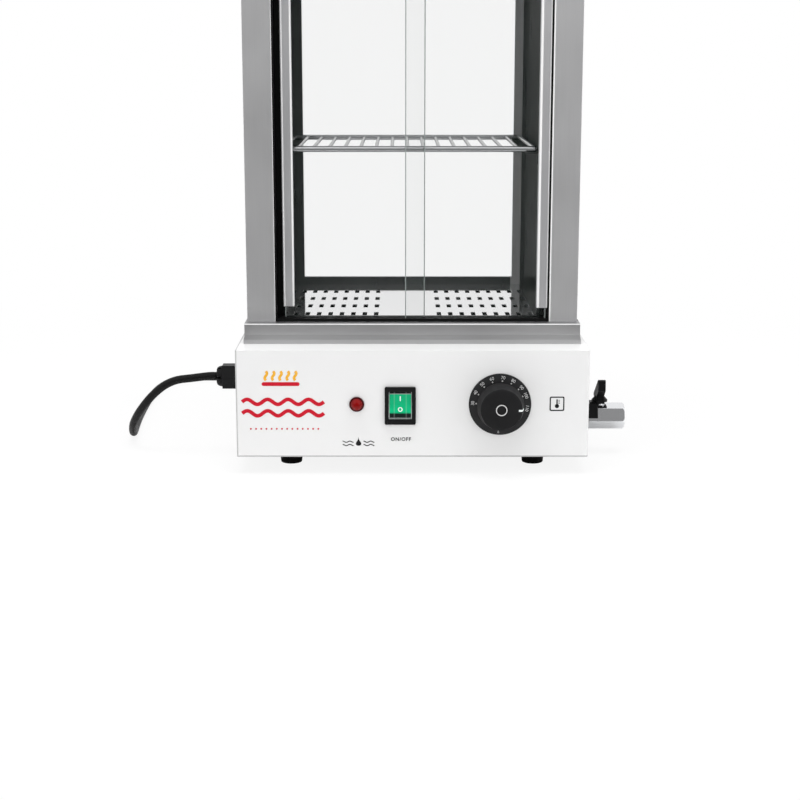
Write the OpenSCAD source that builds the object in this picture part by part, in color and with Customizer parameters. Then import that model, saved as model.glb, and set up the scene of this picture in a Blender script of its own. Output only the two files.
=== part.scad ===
// Hot dog steamer: a white base with a water tank, and a steel cabinet with sliding glass doors.
// Inside the modules x runs from the middle of the base, y from its front face backwards,
// and z from the table. in_place() then moves each piece to the object's own origin.

/* [Base] */
// Width of the white base
base_w = 290; // [280:2:320]
// Depth of the white base
base_d = 290; // [286:2:330]
// Height of the white base without its feet
base_h = 89; // [86:0.5:100]
// Radius of the base's upright corners
base_corner_r = 2; // [1.5:0.5:4]
// Thickness of the steel sheet
sheet_t = 1; // [0.8:0.1:1.2]
// Height of the rubber feet
foot_h = 14.5; // [12:0.5:20]
// Diameter of a foot at its top
foot_top_d = 20; // [18:0.5:24]
// Diameter of a foot where it meets the table
foot_tread_d = 18; // [14:0.5:18]
// Distance of a foot's axis from the base's side
foot_inset_x = 42.5; // [25:0.5:60]
// Distance of a foot's axis from the base's front or back
foot_inset_y = 41.5; // [25:0.5:45]

/* [Water tank] */
// Outer width of the water tank
tank_w = 210; // [200:2:216]
// Outer depth of the water tank
tank_d = 196; // [190:2:198]
// Distance from the base's front face to the tank
tank_front = 60; // [58:0.5:62]
// Gap between the bottom plate and the tank's floor
tank_lift = 5; // [3:0.5:6]
// Width of the tank's rim
tank_rim = 8; // [5:0.5:12]
// Diameter of the heating element's tube
heater_tube_d = 8; // [6:0.5:9]
// Distance between the heating element's two legs
heater_pitch = 72; // [50:2:100]

/* [Cabinet] */
// Width of the steel collar at its foot
collar_w = 281; // [280.6:0.2:284]
// Height of the collar
collar_h = 17; // [15:0.5:22]
// Depth of the collar from front to back
collar_d = 236.5; // [236:0.5:240]
// Distance from the base's front face to the collar
collar_front = 31; // [25:0.5:33]
// How far the collar's foot flares out
collar_flare = 0.8; // [0.6:0.2:2]
// Ledge between the collar's front and the posts
post_ledge = 11; // [8:0.5:14]
// Width of the cabinet
cabinet_w = 276; // [270:1:278]
// Depth of the cabinet
cabinet_d = 223; // [221:0.5:224]
// Height of the cabinet above the collar
cabinet_h = 319.5; // [280:2.5:360]
// Width of a front post
post_w = 23.5; // [20:0.5:26]
// Width of the steam chamber
chamber_w = 218; // [212:1:220]
// How far the chamber's middle lies from the cabinet's middle
chamber_shift = -3.7; // [-4:0.1:-2]
// Width of the rear window
window_w = 200; // [160:2:204]
// Height of the rear window's lower edge above the steam plate
window_sill = 6.5; // [5:0.5:20]
// Height of the rear window
window_h = 276; // [200:2:280]
// Height of the roof's folded edge
roof_skirt = 22; // [16:1:24]

/* [Doors] */
// Thickness of the glass
glass_t = 4; // [3:0.5:4]
// Width of one sliding door
door_w = 117.6; // [115:0.1:124]
// Gap between the left door and its jamb, as it stands
left_door_gap = 6.2; // [3:0.1:8]
// Distance between the two door tracks
track_pitch = 8; // [8:0.1:8.4]
// Height of the bottom track
track_h = 7; // [6:0.5:8]
// Height of the bottom track above the collar
track_show = 2.5; // [1.5:0.5:3]
// Height of the top track
top_track_h = 20; // [18:1:22]
// Depth of the slots in the top track
top_slot = 14; // [12:0.5:15]
// Width of a clip-on door handle
handle_w = 9; // [6:0.2:12]
// Thickness of a clip-on door handle
handle_t = 6.4; // [5.6:0.2:6.6]
// Distance from a door's lower or upper edge to its handle
handle_inset = 14; // [10:1:30]

/* [Steam plate and shelf] */
// Width of a steam slot
slot_w = 3.8; // [2:0.2:5]
// Length of a steam slot
slot_l = 17; // [10:1:22]
// Distance between slots side by side
slot_pitch_x = 9.8; // [8:0.1:9.9]
// Distance between rows of slots
slot_pitch_y = 43.1; // [30:0.1:46]
// Slots side by side in one group
slot_columns = 9; // [4:1:9]
// Rows of slots
slot_rows = 4; // [2:1:4]
// Distance between the two groups, from slot to slot
slot_group_gap = 53.8; // [40:0.2:54]
// Distance from the plate's front edge to the first row's middle
slot_first_row = 16; // [12:0.5:20]
// Height of the bun shelf above the steam plate
shelf_rise = 138; // [90:2:200]
// Diameter of the bun shelf's frame wire
shelf_frame_d = 5; // [4:0.5:6]
// Diameter of the bun shelf's cross wires
shelf_wire_d = 3; // [2:0.5:4]
// Number of the bun shelf's cross wires
shelf_wires = 15; // [8:1:18]

/* [Front controls] */
// Height of the controls above the base's lower edge
control_rise = 44.5; // [40:0.5:50]
// Distance of the lamp from the middle, to the left
lamp_left = 45.7; // [40:0.1:60]
// Diameter of the lamp's lens
lens_d = 12.3; // [10:0.1:14]
// Distance of the switch from the middle, to the left
switch_left = 10; // [0:0.5:14]
// Width of the switch's frame
switch_w = 25.5; // [25:0.5:28]
// Height of the switch's frame
switch_h = 31.5; // [31:0.5:34]
// Tilt of the rocker each way from level
rocker_tilt = 10; // [8:1:12]
// Distance of the dial from the middle, to the right
dial_right = 71.8; // [66:0.2:80]
// Diameter of the fixed scale
scale_d = 51.2; // [48:0.2:58]
// Diameter of the knob's skirt
knob_d = 38.8; // [38:0.2:44]
// Diameter of the knob's face
knob_face_d = 32.2; // [28:0.2:34]
// How far the knob stands out of the base
knob_reach = 24; // [22:0.5:30]
// Diameter of the thermostat's shaft
shaft_d = 6; // [5:0.5:8]

/* [Drain valve] */
// Distance from the base's front face to the valve
valve_back = 75; // [74:0.5:90]
// Height of the valve above the base's lower edge
valve_rise = 18; // [16:0.5:20]
// Width of the valve's hexagon across its flats
valve_hex = 19.5; // [18.5:0.5:21]
// How far the valve stands out of the base
valve_reach = 38.7; // [37:0.1:46]
// Distance from the base to the lever's axis
lever_out = 17.6; // [17.2:0.2:20]
// Diameter of the valve's ball
ball_d = 14; // [13:0.5:14.5]
// Diameter of the water way
waterway_d = 9; // [7:0.5:9.5]
// Diameter of the valve's stem
stem_d = 5; // [4:0.5:6]
// How far the valve is turned about its thread
valve_turn = 16; // [0:1:20]
// Length of the lever's wing from front to back
lever_span = 33; // [24:1:34]
// Height of the lever above the valve's hexagon
lever_rise = 23; // [18:0.5:28]

/* [Mains lead] */
// Diameter of the cord
cord_d = 7; // [6.6:0.1:7.2]
// Distance from the base's front face to the gland
gland_back = 70; // [64:1:76]
// Height of the gland above the base's lower edge
gland_rise = 54; // [48:0.5:60]
// Width of the gland's hexagon across its flats
gland_hex = 20; // [17:0.5:24]
// How far the gland stands out of the base
gland_reach = 22.6; // [20:0.2:28]
// Mean diameter of the coil at the middle of its turns
coil_mean_d = 70; // [70:1:80]
// Turns in each of the coil's two layers
coil_turns = 2; // [1:1:3]
// Distance between turns that lie side by side or on each other
coil_pitch = 7.6; // [7.6:0.1:8]
// Diameter of the plug's front
plug_d = 37; // [35:0.5:38]
// Diameter of the plug's pins
pin_d = 4.8; // [4:0.1:5]
// Distance between the plug's pins
pin_pitch = 19; // [17:0.5:20]
// Length of the plug's pins
pin_l = 19; // [15:0.5:20]

/* [Clearances] */
// Gap round a shaft that turns
running_gap = 0.05; // [0.03:0.01:0.09]
// Gap between pieces that pass each other
moving_gap = 0.3; // [0.2:0.05:0.4]
// Gap round a screw or a piece that is pushed into place
fitting_gap = 0.1; // [0.05:0.01:0.15]

/* [Hidden] */
$fn = 48;
eps = 0.01;
past = 5;

// The object's origin is under the middle of the box round everything but the cord
base_x = (gland_reach - valve_reach) / 2;
base_y = (knob_reach - base_d) / 2;

// Heights
base_z = foot_h;
base_top = base_z + base_h;
collar_top = base_top + collar_h;
plate_top = collar_top + sheet_t;
roof_top = collar_top + cabinet_h;
roof_under = roof_top - sheet_t;

// Cabinet, seen from above
cabinet_y = collar_front + post_ledge;
cabinet_back = cabinet_y + cabinet_d;
doorway = cabinet_w / 2 - post_w;
chamber_left = chamber_shift - chamber_w / 2;
chamber_right = chamber_shift + chamber_w / 2;

// Door tracks, from front to back: wall, slot, middle wall, slot, wall
track_wall = 1.5;
track_slot = glass_t + 1;
track_floor = 1.5;
track_y = cabinet_y + sheet_t + 0.5;
track_d = 2 * track_wall + track_slot + track_pitch;
front_slot_y = track_y + track_wall + track_slot / 2;
rear_slot_y = front_slot_y + track_pitch;
track_back = track_y + track_d;
track_top = collar_top + track_show;
track_z = track_top - track_h;
trough_back = track_back + fitting_gap + sheet_t;
top_track_z = roof_under - top_track_h;
door_z = track_z + track_floor + moving_gap;
door_top = top_track_z + top_slot / 2;
door_h = door_top - door_z;

// Jambs: a strip on the post's lip with a stop behind the rear door
jamb_t = 1.3;
jamb_stop_t = 1.2;
jamb_stop_w = 7.3;
jamb_y = rear_slot_y + handle_t / 2 + 0.6;
jamb_back = jamb_y + jamb_stop_t;
chamber_y = max(jamb_back, trough_back) + moving_gap;

// Rear wall, from front to back: inner sheet, seal with the glass in it, outer sheet
seal_t = glass_t + 1;
rear_y = cabinet_back - 3 * sheet_t - seal_t;
window_x = chamber_shift + 1.4;
window_z = plate_top + window_sill;
glass_lap = 8;
seal_lap = 4;
seal_edge = 3;

// Doors as they stand, by their left edges
handle_wall = (handle_t - glass_t) / 2;
right_door_x = doorway - jamb_t - moving_gap - handle_wall - door_w;
left_door_x = -doorway + jamb_t + left_door_gap;

// Steam plate
plate_x = chamber_left + moving_gap;
plate_w = chamber_w - 2 * moving_gap;
plate_y = chamber_y + sheet_t + moving_gap;
plate_d = rear_y - moving_gap - plate_y;
slot_group_w = (slot_columns - 1) * slot_pitch_x;
plate_rest = 6;
collar_foot_h = 3.5;
collar_bend_h = 4;
collar_turn = 14;

// Shelf
shelf_z = plate_top + shelf_rise;
rail_w = 10;
rail_inset = 8;

// Water tank
tank_z = base_z + sheet_t + tank_lift;
tank_rim_z = base_top;
tank_back = tank_front + tank_d;
heater_z = tank_z + sheet_t + 15;
heater_front = tank_front + 30;
heater_tail = 16;
heater_nut_d = 20;
heater_nut_t = 5;

// Front controls
control_z = base_z + control_rise;
switch_z = control_z - 1.2;
wall_t = sheet_t + 0.2;
screw_d = 3;
screw_head_d = 6.4;
screw_head_h = 2;
vent_w = 4;
vent_l = 40;
vent_pitch = 14;
vent_row = 60;
lamp_thread_d = 9.8;
frame_t = 2;
switch_hole_w = 22;
switch_hole_h = 28.4;
switch_depth = 24;
rocker_w = 19;
rocker_axis_y = 5;
rocker_valley = 5.5;
rocker_window = 23.6;
rocker_r = sqrt(pow(rocker_window / 2 - 0.2, 2) + pow(rocker_axis_y, 2));
thermostat_w = 44;
thermostat_h = 32;
thermostat_d = 34;
thermostat_screw_pitch = 28;
shaft_hole_d = 10;
scale_t = 1.2;
scale_hole_d = 35;
knob_gap = 0.4;
knob_skirt = 8.3;
knob_hollow_d = 32.6;
knob_draft = 1.6;
knob_face_t = 5.5;
shaft_tip = knob_face_t + 0.5;
shaft_seat = 11;
probe_z = tank_z + 24;
probe_d = 6;
probe_l = 80;
probe_tail = 3;
probe_nut_d = 14;
probe_nut_t = 6;
capillary_d = 2;

// Valve
valve_z = base_z + valve_rise;
valve_x = base_w / 2 + moving_gap;
valve_end = base_w / 2 + valve_reach;
lever_x = base_w / 2 + lever_out;
hex_top = valve_hex / sqrt(3);
pipe_d = 15;
pipe_bore = 10.5;
outlet_d = 13;
outlet_l = 9;
socket_l = 6;
hub_d = 13.6;
hub_rim_h = 1.5;
hub_h = 5;
hub_z = valve_z + hex_top + 1.6;
lever_t = 6.4;
lever_top = valve_z + hex_top + lever_rise;
stem_top = hub_z + hub_h - 1;
lug_front = 0.7 - hub_d / 2;
grip_h = 9;
lug_l = 9;
lug_z = valve_z + hex_top + moving_gap;
stop_l = 14;
stop_gap = 2.4;
stop_t = 3;
stop_low = -3;
stop_high = 9.4;
stop_tab = 4;
ball_flat = ball_d / 2 - 0.8;

// Gland and lead
gland_z = base_z + gland_rise;
gland_bore = cord_d + 2 * fitting_gap;
gland_thread_d = 15;
gland_flange_t = 5;
gland_dome = 5;
gland_tip = -base_w / 2 - gland_reach;
locknut_t = 4;
lead_bend = 12;
flange_w = 12;
block_w = 12;
block_d = 26;
block_h = 18;
lead_x = -base_w / 2 + wall_t + flange_w + 0.5 + block_w / 2;

// Cord. Its lay behind the base follows from the coil's place.
cord_sides = 10;
coil_sides = 6;
coil_rings = 24;
tie_t = 0.8;
tie_w = 9;
tie_gap = 0.4;
coil_z = tie_t + tie_gap + cord_d / 2;
coil_r_out = coil_mean_d / 2 + coil_turns * coil_pitch / 2;
coil_r_in = coil_mean_d / 2 - coil_turns * coil_pitch / 2;
coil_x = -55;
coil_y = 350;
coil_start_y = coil_y - coil_r_out;
tail_z = coil_z + coil_pitch;
cord_points = [
    [gland_tip, gland_back, gland_z], [gland_tip - cord_d, gland_back, gland_z],
    [-190, 70, 66.6], [-202, 70, 65], [-212, 71, 60.8], [-222, 73, 53], [-231, 77, 43],
    [-239, 84, 32], [-245, 94, 21], [-248, 108, 11.5], [-250, 124, 6], [-252, 142, 3.9],
    [-254, 165, 3.6], [-256, 195, 3.6], [-257.5, 230, 3.6], [-258.5, 265, 3.6],
    [-258.5, 302, 3.6], [-256.5, 333, 3.6], [-251.5, 358, 3.6], [-243.5, 374, 3.6],
    [-232, 383, 3.6], [-218, 386, 3.6], [-200, 386, 3.6], [-184, 385, 3.6],
    [-167, 382, 3.6], [-151.5, 374, 3.6], [-139.5, 362, 3.6], [-132, 346, 3.6],
    [-124.5, 330.5, 3.6], [-112.5, 318, 3.7], [-97, 310, 4.2],
    [coil_x - 2 * cord_d, coil_start_y, coil_z], [coil_x - cord_d, coil_start_y, coil_z]];
plug_x = 22;
plug_y = 318;
plug_z = plug_d / 2;
plug_relief = 30;
plug_body_l = 36;
plug_flange_l = 8;
plug_face_x = plug_x + plug_relief + plug_body_l;
tail_points = [
    [coil_x + cord_d, coil_start_y, tail_z], [coil_x + 2 * cord_d, coil_start_y, tail_z],
    [-28, 308.5, 13.4], [-14, 312, 15.2], [0, 316.5, 17.2],
    [plug_x - cord_d, plug_y, plug_z], [plug_x, plug_y, plug_z]];

// Shared shapes

module in_place() {
    translate([base_x, base_y, 0]) children();
}

// A solid bar along x, y or z from its first end
module bar_x(l, d) {
    rotate([0, 90, 0]) cylinder(h = l, d = d);
}

module bar_y(l, d) {
    rotate([-90, 0, 0]) cylinder(h = l, d = d);
}

// A six-sided bar along x, with a corner on top before it is turned about its axis
module hex_bar_x(l, flats, turn = 0) {
    rotate([-turn, 0, 0]) rotate([0, 90, 0])
        cylinder(h = l, d = 2 * flats / sqrt(3), $fn = 6);
}

module box(x0, y0, z0, x1, y1, z1) {
    translate([x0, y0, z0]) cube([x1 - x0, y1 - y0, z1 - z0]);
}

module rounded_rect(w, h, r) {
    union() {
        square([w - 2 * r, h], center = true);
        square([w, h - 2 * r], center = true);
        for (sx = [-1, 1], sy = [-1, 1])
            translate([sx * (w / 2 - r), sy * (h / 2 - r)]) circle(r);
    }
}

// One side of a folded frame: its section is carried along x and cut at 45 degrees at both ends
module folded_run(w, section, z0, z1) {
    intersection() {
        translate([-w / 2, 0, 0]) rotate([90, 0, 90]) linear_extrude(w) polygon(section);
        translate([0, 0, z0 - past]) linear_extrude(z1 - z0 + 2 * past)
            polygon([[-w / 2, 0], [w / 2, 0], [0, w / 2]]);
    }
}

// A frame folded from sheet; the section is given as distance inwards and height
module folded_frame(w, d, section, z0, z1) {
    translate([0, -d / 2, 0]) folded_run(w, section, z0, z1);
    rotate([0, 0, 180]) translate([0, -d / 2, 0]) folded_run(w, section, z0, z1);
    for (turn = [90, -90])
        rotate([0, 0, turn]) translate([0, -w / 2, 0]) folded_run(d, section, z0, z1);
}

// A flat ring of sheet standing across y, with a window in it
module window_sheet(x0, z0, x1, z1, t, grow) {
    difference() {
        box(x0, 0, z0, x1, t, z1);
        box(window_x - window_w / 2 - grow, -past, window_z - grow,
            window_x + window_w / 2 + grow, t + past, window_z + window_h + grow);
    }
}

// A pan-head screw along z: its head stands on z = 0 and its shank runs down
module screw(l, d, head_d, head_h) {
    translate([0, 0, -l]) cylinder(h = l + eps, d = d);
    rotate_extrude() polygon([[0, 0], [head_d / 2, 0], [head_d / 2, head_h * 0.4],
        [head_d / 2 - head_h * 0.35, head_h * 0.85], [head_d / 2 - head_h, head_h], [0, head_h]]);
}

// Points and their rings along a tube, with one flat ring at each end
function unit(v) = v / norm(v);
function heading(p, i) = unit(i == 0 ? p[1] - p[0] : i == len(p) - 1 ? p[i] - p[i - 1]
    : unit(p[i + 1] - p[i]) + unit(p[i] - p[i - 1]));
function side_of(t) = unit(cross(t, [0, 0, 1]));
function tube_ring(p, i, d, n) = let(t = heading(p, i), s = side_of(t), u = cross(s, t))
    [for (k = [0 : n - 1]) p[i] + d / 2 * (cos(360 * k / n) * s + sin(360 * k / n) * u)];

module tube(p, d, n) {
    m = len(p);
    rings = [for (i = [0 : m - 1]) each tube_ring(p, i, d, n)];
    walls = [for (i = [0 : m - 2], k = [0 : n - 1]) each [
        [i * n + k, i * n + (k + 1) % n, (i + 1) * n + (k + 1) % n],
        [i * n + k, (i + 1) * n + (k + 1) % n, (i + 1) * n + k]]];
    ends = [for (k = [1 : n - 2]) each [[0, k + 1, k],
        [(m - 1) * n, (m - 1) * n + k, (m - 1) * n + k + 1]]];
    polyhedron(points = rings, faces = concat(walls, ends));
}

// The cord's route as a smooth curve through its points
function curve_at(a, b, c, d, t) = 0.5 * (2 * b + (c - a) * t + (2 * a - 5 * b + 4 * c - d) * t * t
    + (3 * b - a - 3 * c + d) * t * t * t);
function curve_through(p, steps) = let(m = len(p)) concat(
    [for (i = [0 : m - 2], j = [0 : steps - 1])
        curve_at(p[max(i - 1, 0)], p[i], p[i + 1], p[min(i + 2, m - 1)], j / steps)], [p[m - 1]]);
function length_of(p, i = 1) = i == len(p) ? 0 : norm(p[i] - p[i - 1]) + length_of(p, i + 1);

// The coil spirals in on its lower layer, climbs in the half turn where it reverses, and
// spirals out on its upper layer. a is the angle turned, in degrees.
coil_sweep = 720 * coil_turns;
function coil_r(a) = coil_r_in + coil_pitch * abs(a - coil_sweep / 2) / 360;
function coil_climb(a) = min(1, max(0, (a - coil_sweep / 2 + 90) / 180));
function coil_height(a) = coil_z + coil_pitch * (1 - cos(180 * coil_climb(a))) / 2;
function coil_point(a) = [coil_x + coil_r(a) * sin(a), coil_y - coil_r(a) * cos(a),
    coil_height(a)];
coil_path = concat(
    [[coil_x - cord_d, coil_start_y, coil_z]],
    [for (a = [0 : 360 / coil_rings : coil_sweep]) coil_point(a)],
    [[coil_x + cord_d, coil_start_y, tail_z]]);
coil_gap = min([for (a = [0 : 15 : coil_sweep - 270], b = [a + 270 : 15 : coil_sweep])
    norm(coil_point(a) - coil_point(b))]) - cord_d;
cord_curve = curve_through(cord_points, 2);
tail_curve = curve_through(tail_points, 2);
echo(coil_gap = coil_gap, cord_length = length_of(cord_curve) + length_of(coil_path)
    + length_of(tail_curve));

// Screw places
foot_spots = [for (sx = [-1, 1], y = [foot_inset_y, base_d - foot_inset_y])
    [sx * (base_w / 2 - foot_inset_x), y]];
bottom_spots = [for (sx = [-1, 1], y = [14, base_d / 2, base_d - 14]) [sx * (base_w / 2 - 7), y]];
roof_screw_z = roof_top - roof_skirt / 2;
side_screw_y = [cabinet_y + 36, cabinet_back - 36];
rear_screw_x = cabinet_w / 2 - 11;
rear_screw_z = [collar_top + 20, collar_top + cabinet_h / 2];

// Base

module base_shell(grow) {
    translate([0, base_d / 2, 0])
        rounded_rect(base_w + 2 * grow, base_d + 2 * grow, base_corner_r + grow);
}

module base_housing() {
    in_place() color("whitesmoke") difference() {
        translate([0, 0, base_z]) linear_extrude(base_h) base_shell(0);
        difference() {
            translate([0, 0, base_z - past])
                linear_extrude(base_h + past - wall_t) base_shell(-wall_t);
            // inward flange that carries the bottom plate
            difference() {
                box(-base_w / 2, 0, base_z + sheet_t, base_w / 2, base_d,
                    base_z + sheet_t + wall_t);
                box(-base_w / 2 + wall_t + flange_w, wall_t + flange_w, base_z,
                    base_w / 2 - wall_t - flange_w, base_d - wall_t - flange_w,
                    base_z + 2 * sheet_t + wall_t);
            }
        }
        // opening for the tank
        box(-tank_w / 2 - fitting_gap, tank_front - fitting_gap, base_top - past,
            tank_w / 2 + fitting_gap, tank_back + fitting_gap, base_top + past);
        // front holes
        translate([-lamp_left, -past, control_z]) bar_y(2 * past, lamp_thread_d + 0.2);
        box(-switch_left - switch_hole_w / 2, -past, switch_z - switch_hole_h / 2,
            -switch_left + switch_hole_w / 2, past, switch_z + switch_hole_h / 2);
        translate([dial_right, -past, control_z]) bar_y(2 * past, shaft_hole_d);
        for (s = [-1, 1])
            translate([dial_right + s * thermostat_screw_pitch / 2, -past, control_z])
                bar_y(2 * past, screw_d + 2 * fitting_gap);
        // side holes
        translate([-base_w / 2 - past, gland_back, gland_z])
            bar_x(2 * past, gland_thread_d + 2 * fitting_gap);
        translate([base_w / 2 - past, valve_back, valve_z])
            bar_x(2 * past, pipe_d + 2 * fitting_gap);
        for (p = bottom_spots)
            translate([p.x, p.y, base_z - past]) cylinder(h = 3 * past, d = screw_d + 2 * fitting_gap);
    }
}

module bottom_plate() {
    in_place() color("silver") difference() {
        translate([0, 0, base_z]) linear_extrude(sheet_t) base_shell(-wall_t - fitting_gap);
        for (p = concat(foot_spots, bottom_spots))
            translate([p.x, p.y, base_z - past]) cylinder(h = 3 * past, d = screw_d + 2 * fitting_gap);
        // air slots
        for (i = [-4 : 4], sy = [-1, 1])
            translate([i * vent_pitch, base_d / 2 + sy * vent_row, base_z])
                cube([vent_w, vent_l, 2 * past], center = true);
    }
}

module rubber_feet() {
    in_place() color([0.08, 0.08, 0.08]) for (p = foot_spots)
        translate([p.x, p.y, 0]) rotate_extrude() polygon([
            [foot_top_d / 4, 0], [foot_tread_d / 2 - 1, 0], [foot_tread_d / 2 - 0.3, 0.3],
            [foot_tread_d / 2, 1], [foot_top_d / 2, foot_h - 2], [foot_top_d / 2, foot_h],
            [screw_d / 2 + fitting_gap, foot_h], [screw_d / 2 + fitting_gap, foot_h / 2],
            [foot_top_d / 4, foot_h / 2]]);
}

module foot_screws() {
    in_place() color("lightgray") for (p = foot_spots) translate([p.x, p.y, foot_h / 2])
        mirror([0, 0, 1]) screw(foot_h / 2 + sheet_t + 4, screw_d, screw_head_d, screw_head_h);
}

module bottom_screws() {
    in_place() color("lightgray") for (p = bottom_spots) translate([p.x, p.y, base_z])
        mirror([0, 0, 1]) screw(sheet_t + wall_t + 3, screw_d, screw_head_d, screw_head_h);
}

// Water and heat

module water_tank() {
    in_place() color("silver") difference() {
        union() {
            box(-tank_w / 2, tank_front, tank_z, tank_w / 2, tank_back, base_top + sheet_t);
            box(-tank_w / 2 - tank_rim, tank_front - tank_rim, base_top,
                tank_w / 2 + tank_rim, tank_back + tank_rim, base_top + sheet_t);
        }
        box(-tank_w / 2 + sheet_t, tank_front + sheet_t, tank_z + sheet_t,
            tank_w / 2 - sheet_t, tank_back - sheet_t, base_top + past);
        translate([tank_w / 2 - past, valve_back, valve_z])
            bar_x(2 * past, pipe_d + 2 * fitting_gap);
        for (s = [-1, 1])
            translate([s * heater_pitch / 2, tank_back - past, heater_z])
                bar_y(2 * past, heater_tube_d + 2 * fitting_gap);
        translate([dial_right, tank_front - past, probe_z])
            bar_y(2 * past, probe_d + 2 * fitting_gap);
    }
}

module heating_element() {
    in_place() color([0.35, 0.33, 0.32]) {
        legs_front = heater_front + heater_pitch / 2;
        for (s = [-1, 1])
            translate([s * heater_pitch / 2, legs_front, heater_z])
                bar_y(tank_back + heater_tail - legs_front, heater_tube_d);
        translate([0, legs_front, heater_z]) rotate([0, 0, 180])
            rotate_extrude(angle = 180) translate([heater_pitch / 2, 0]) circle(d = heater_tube_d);
    }
}

module heater_nuts() {
    in_place() color("gold") for (s = [-1, 1])
        translate([s * heater_pitch / 2, tank_back, heater_z]) difference() {
            rotate([-90, 0, 0]) cylinder(h = heater_nut_t, d = heater_nut_d, $fn = 6);
            translate([0, -past, 0]) bar_y(heater_nut_t + 2 * past,
                heater_tube_d + 2 * fitting_gap);
        }
}

module dry_run_cutout() {
    in_place() color([0.15, 0.15, 0.16]) translate([-lamp_left, tank_front, heater_z])
        mirror([0, 1, 0]) {
            bar_y(1, 24);
            bar_y(9, 16);
            for (s = [-1, 1]) box(s * 5 - 0.4, 9 - eps, -3, s * 5 + 0.4, 16, 3);
        }
}

module drain_pipe() {
    in_place() color([0.75, 0.62, 0.3]) translate([0, valve_back, valve_z]) difference() {
        translate([tank_w / 2 - sheet_t - 6, 0, 0])
            bar_x(valve_x + socket_l - tank_w / 2 + sheet_t + 6, pipe_d);
        translate([tank_w / 2 - 3 * past, 0, 0]) bar_x(base_w, pipe_bore);
    }
}

module pipe_nut(x, t) {
    translate([x, valve_back, valve_z]) difference() {
        hex_bar_x(t, pipe_d + 2, 30);
        translate([-past, 0, 0]) bar_x(t + 2 * past, pipe_d + 2 * fitting_gap);
    }
}

module drain_nuts() {
    in_place() color([0.75, 0.62, 0.3]) {
        pipe_nut(tank_w / 2 - sheet_t - 4, 4);
        pipe_nut(tank_w / 2, 4);
        pipe_nut(base_w / 2 - wall_t - 4, 4);
    }
}

// Drain valve: closed as it stands, with the lever across the pipe

module valve_body() {
    in_place() color("gainsboro") difference() {
        union() {
            intersection() {
                translate([valve_x, valve_back, valve_z])
                    hex_bar_x(valve_end - valve_x, valve_hex, valve_turn);
                // turned ends
                translate([valve_x, valve_back, valve_z]) rotate([0, 90, 0])
                    rotate_extrude() polygon([[0, 0], [hex_top + 1, 0],
                        [hex_top + 1, valve_end - valve_x - 3],
                        [hex_top - 1, valve_end - valve_x], [0, valve_end - valve_x]]);
            }
            translate([lever_x, valve_back, valve_z])
                cylinder(h = lug_z - valve_z, d = stem_d + 3.6);
        }
        translate([valve_x - past, valve_back, valve_z])
            bar_x(past + socket_l, pipe_d + 2 * fitting_gap);
        translate([valve_x, valve_back, valve_z]) bar_x(valve_reach, waterway_d);
        translate([valve_end - outlet_l, valve_back, valve_z]) bar_x(outlet_l + past, outlet_d);
        translate([lever_x, valve_back, valve_z]) sphere(d = ball_d + 2 * moving_gap);
        translate([lever_x, valve_back, valve_z])
            cylinder(h = hub_z - valve_z + past, d = stem_d + 2 * running_gap);
    }
}

module valve_ball() {
    in_place() color("gainsboro") translate([lever_x, valve_back, valve_z]) difference() {
        sphere(d = ball_d);
        translate([0, -ball_d, 0]) bar_y(2 * ball_d, waterway_d);
        translate([-ball_d, -ball_d, ball_flat]) cube(2 * ball_d);
    }
}

module valve_stem() {
    in_place() color("gray") translate([lever_x, valve_back, valve_z + ball_flat])
        cylinder(h = stem_top - valve_z - ball_flat, d = stem_d);
}

// The lever: a round hub with a lug under it, and a wing that rises towards the front
module valve_lever() {
    wing = lever_span / 2;
    hub_top = hub_z + hub_h;
    in_place() color([0.07, 0.07, 0.07]) translate([lever_x, valve_back, 0]) difference() {
        union() {
            rotate_extrude() polygon([[0, hub_z], [hub_d / 2, hub_z],
                [hub_d / 2, hub_z + hub_rim_h], [lever_t / 2 + 0.5, hub_top], [0, hub_top]]);
            // lug that meets the stop when the valve is closed
            box(-lug_l, lug_front, lug_z, lever_t / 2 + 0.5, lever_t / 2, hub_z + 0.3);
            translate([-lever_t / 2, 0, 0]) rotate([90, 0, 90]) linear_extrude(lever_t)
                polygon([[-hub_d / 2, hub_z + 0.2], [hub_d / 2, hub_z + 0.2],
                    [wing, hub_top - 3], [wing, hub_top - 1], [3 - wing, lever_top],
                    [1 - wing, lever_top - 1], [-wing, lever_top - grip_h],
                    [1 - hub_d / 2, hub_top]]);
        }
        translate([0, 0, lug_z - past])
            cylinder(h = stem_top - lug_z + past, d = stem_d + 2 * running_gap);
        // room for the collar round the stem
        translate([0, 0, lug_z - past])
            cylinder(h = past + moving_gap, d = stem_d + 3.6 + 2 * moving_gap);
    }
}

// A plate on the valve's front flat, with a tab bent back over the flat above it
module lever_stop() {
    in_place() color([0.07, 0.07, 0.07]) translate([lever_x, valve_back, valve_z]) union() {
        rotate([-valve_turn, 0, 0])
            box(-stop_l, -valve_hex / 2 - stop_t, stop_low, -stop_gap, -valve_hex / 2, stop_high);
        rotate([-valve_turn - 60, 0, 0])
            box(-stop_gap - 1, -valve_hex / 2 - 0.8, -hex_top / 2, lever_t / 2 - 1,
                -valve_hex / 2, stop_tab - hex_top / 2);
    }
}

// Front controls

module lamp_lens() {
    in_place() color([0.8, 0.05, 0.08]) translate([-lamp_left, 0, control_z]) rotate([90, 0, 0])
        rotate_extrude() intersection() {
            union() {
                square([lens_d / 2, 1.4]);
                translate([0, 0.6]) scale([1, 0.9]) circle(d = lens_d - 2);
            }
            square([lens_d, lens_d]);
        }
}

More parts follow.
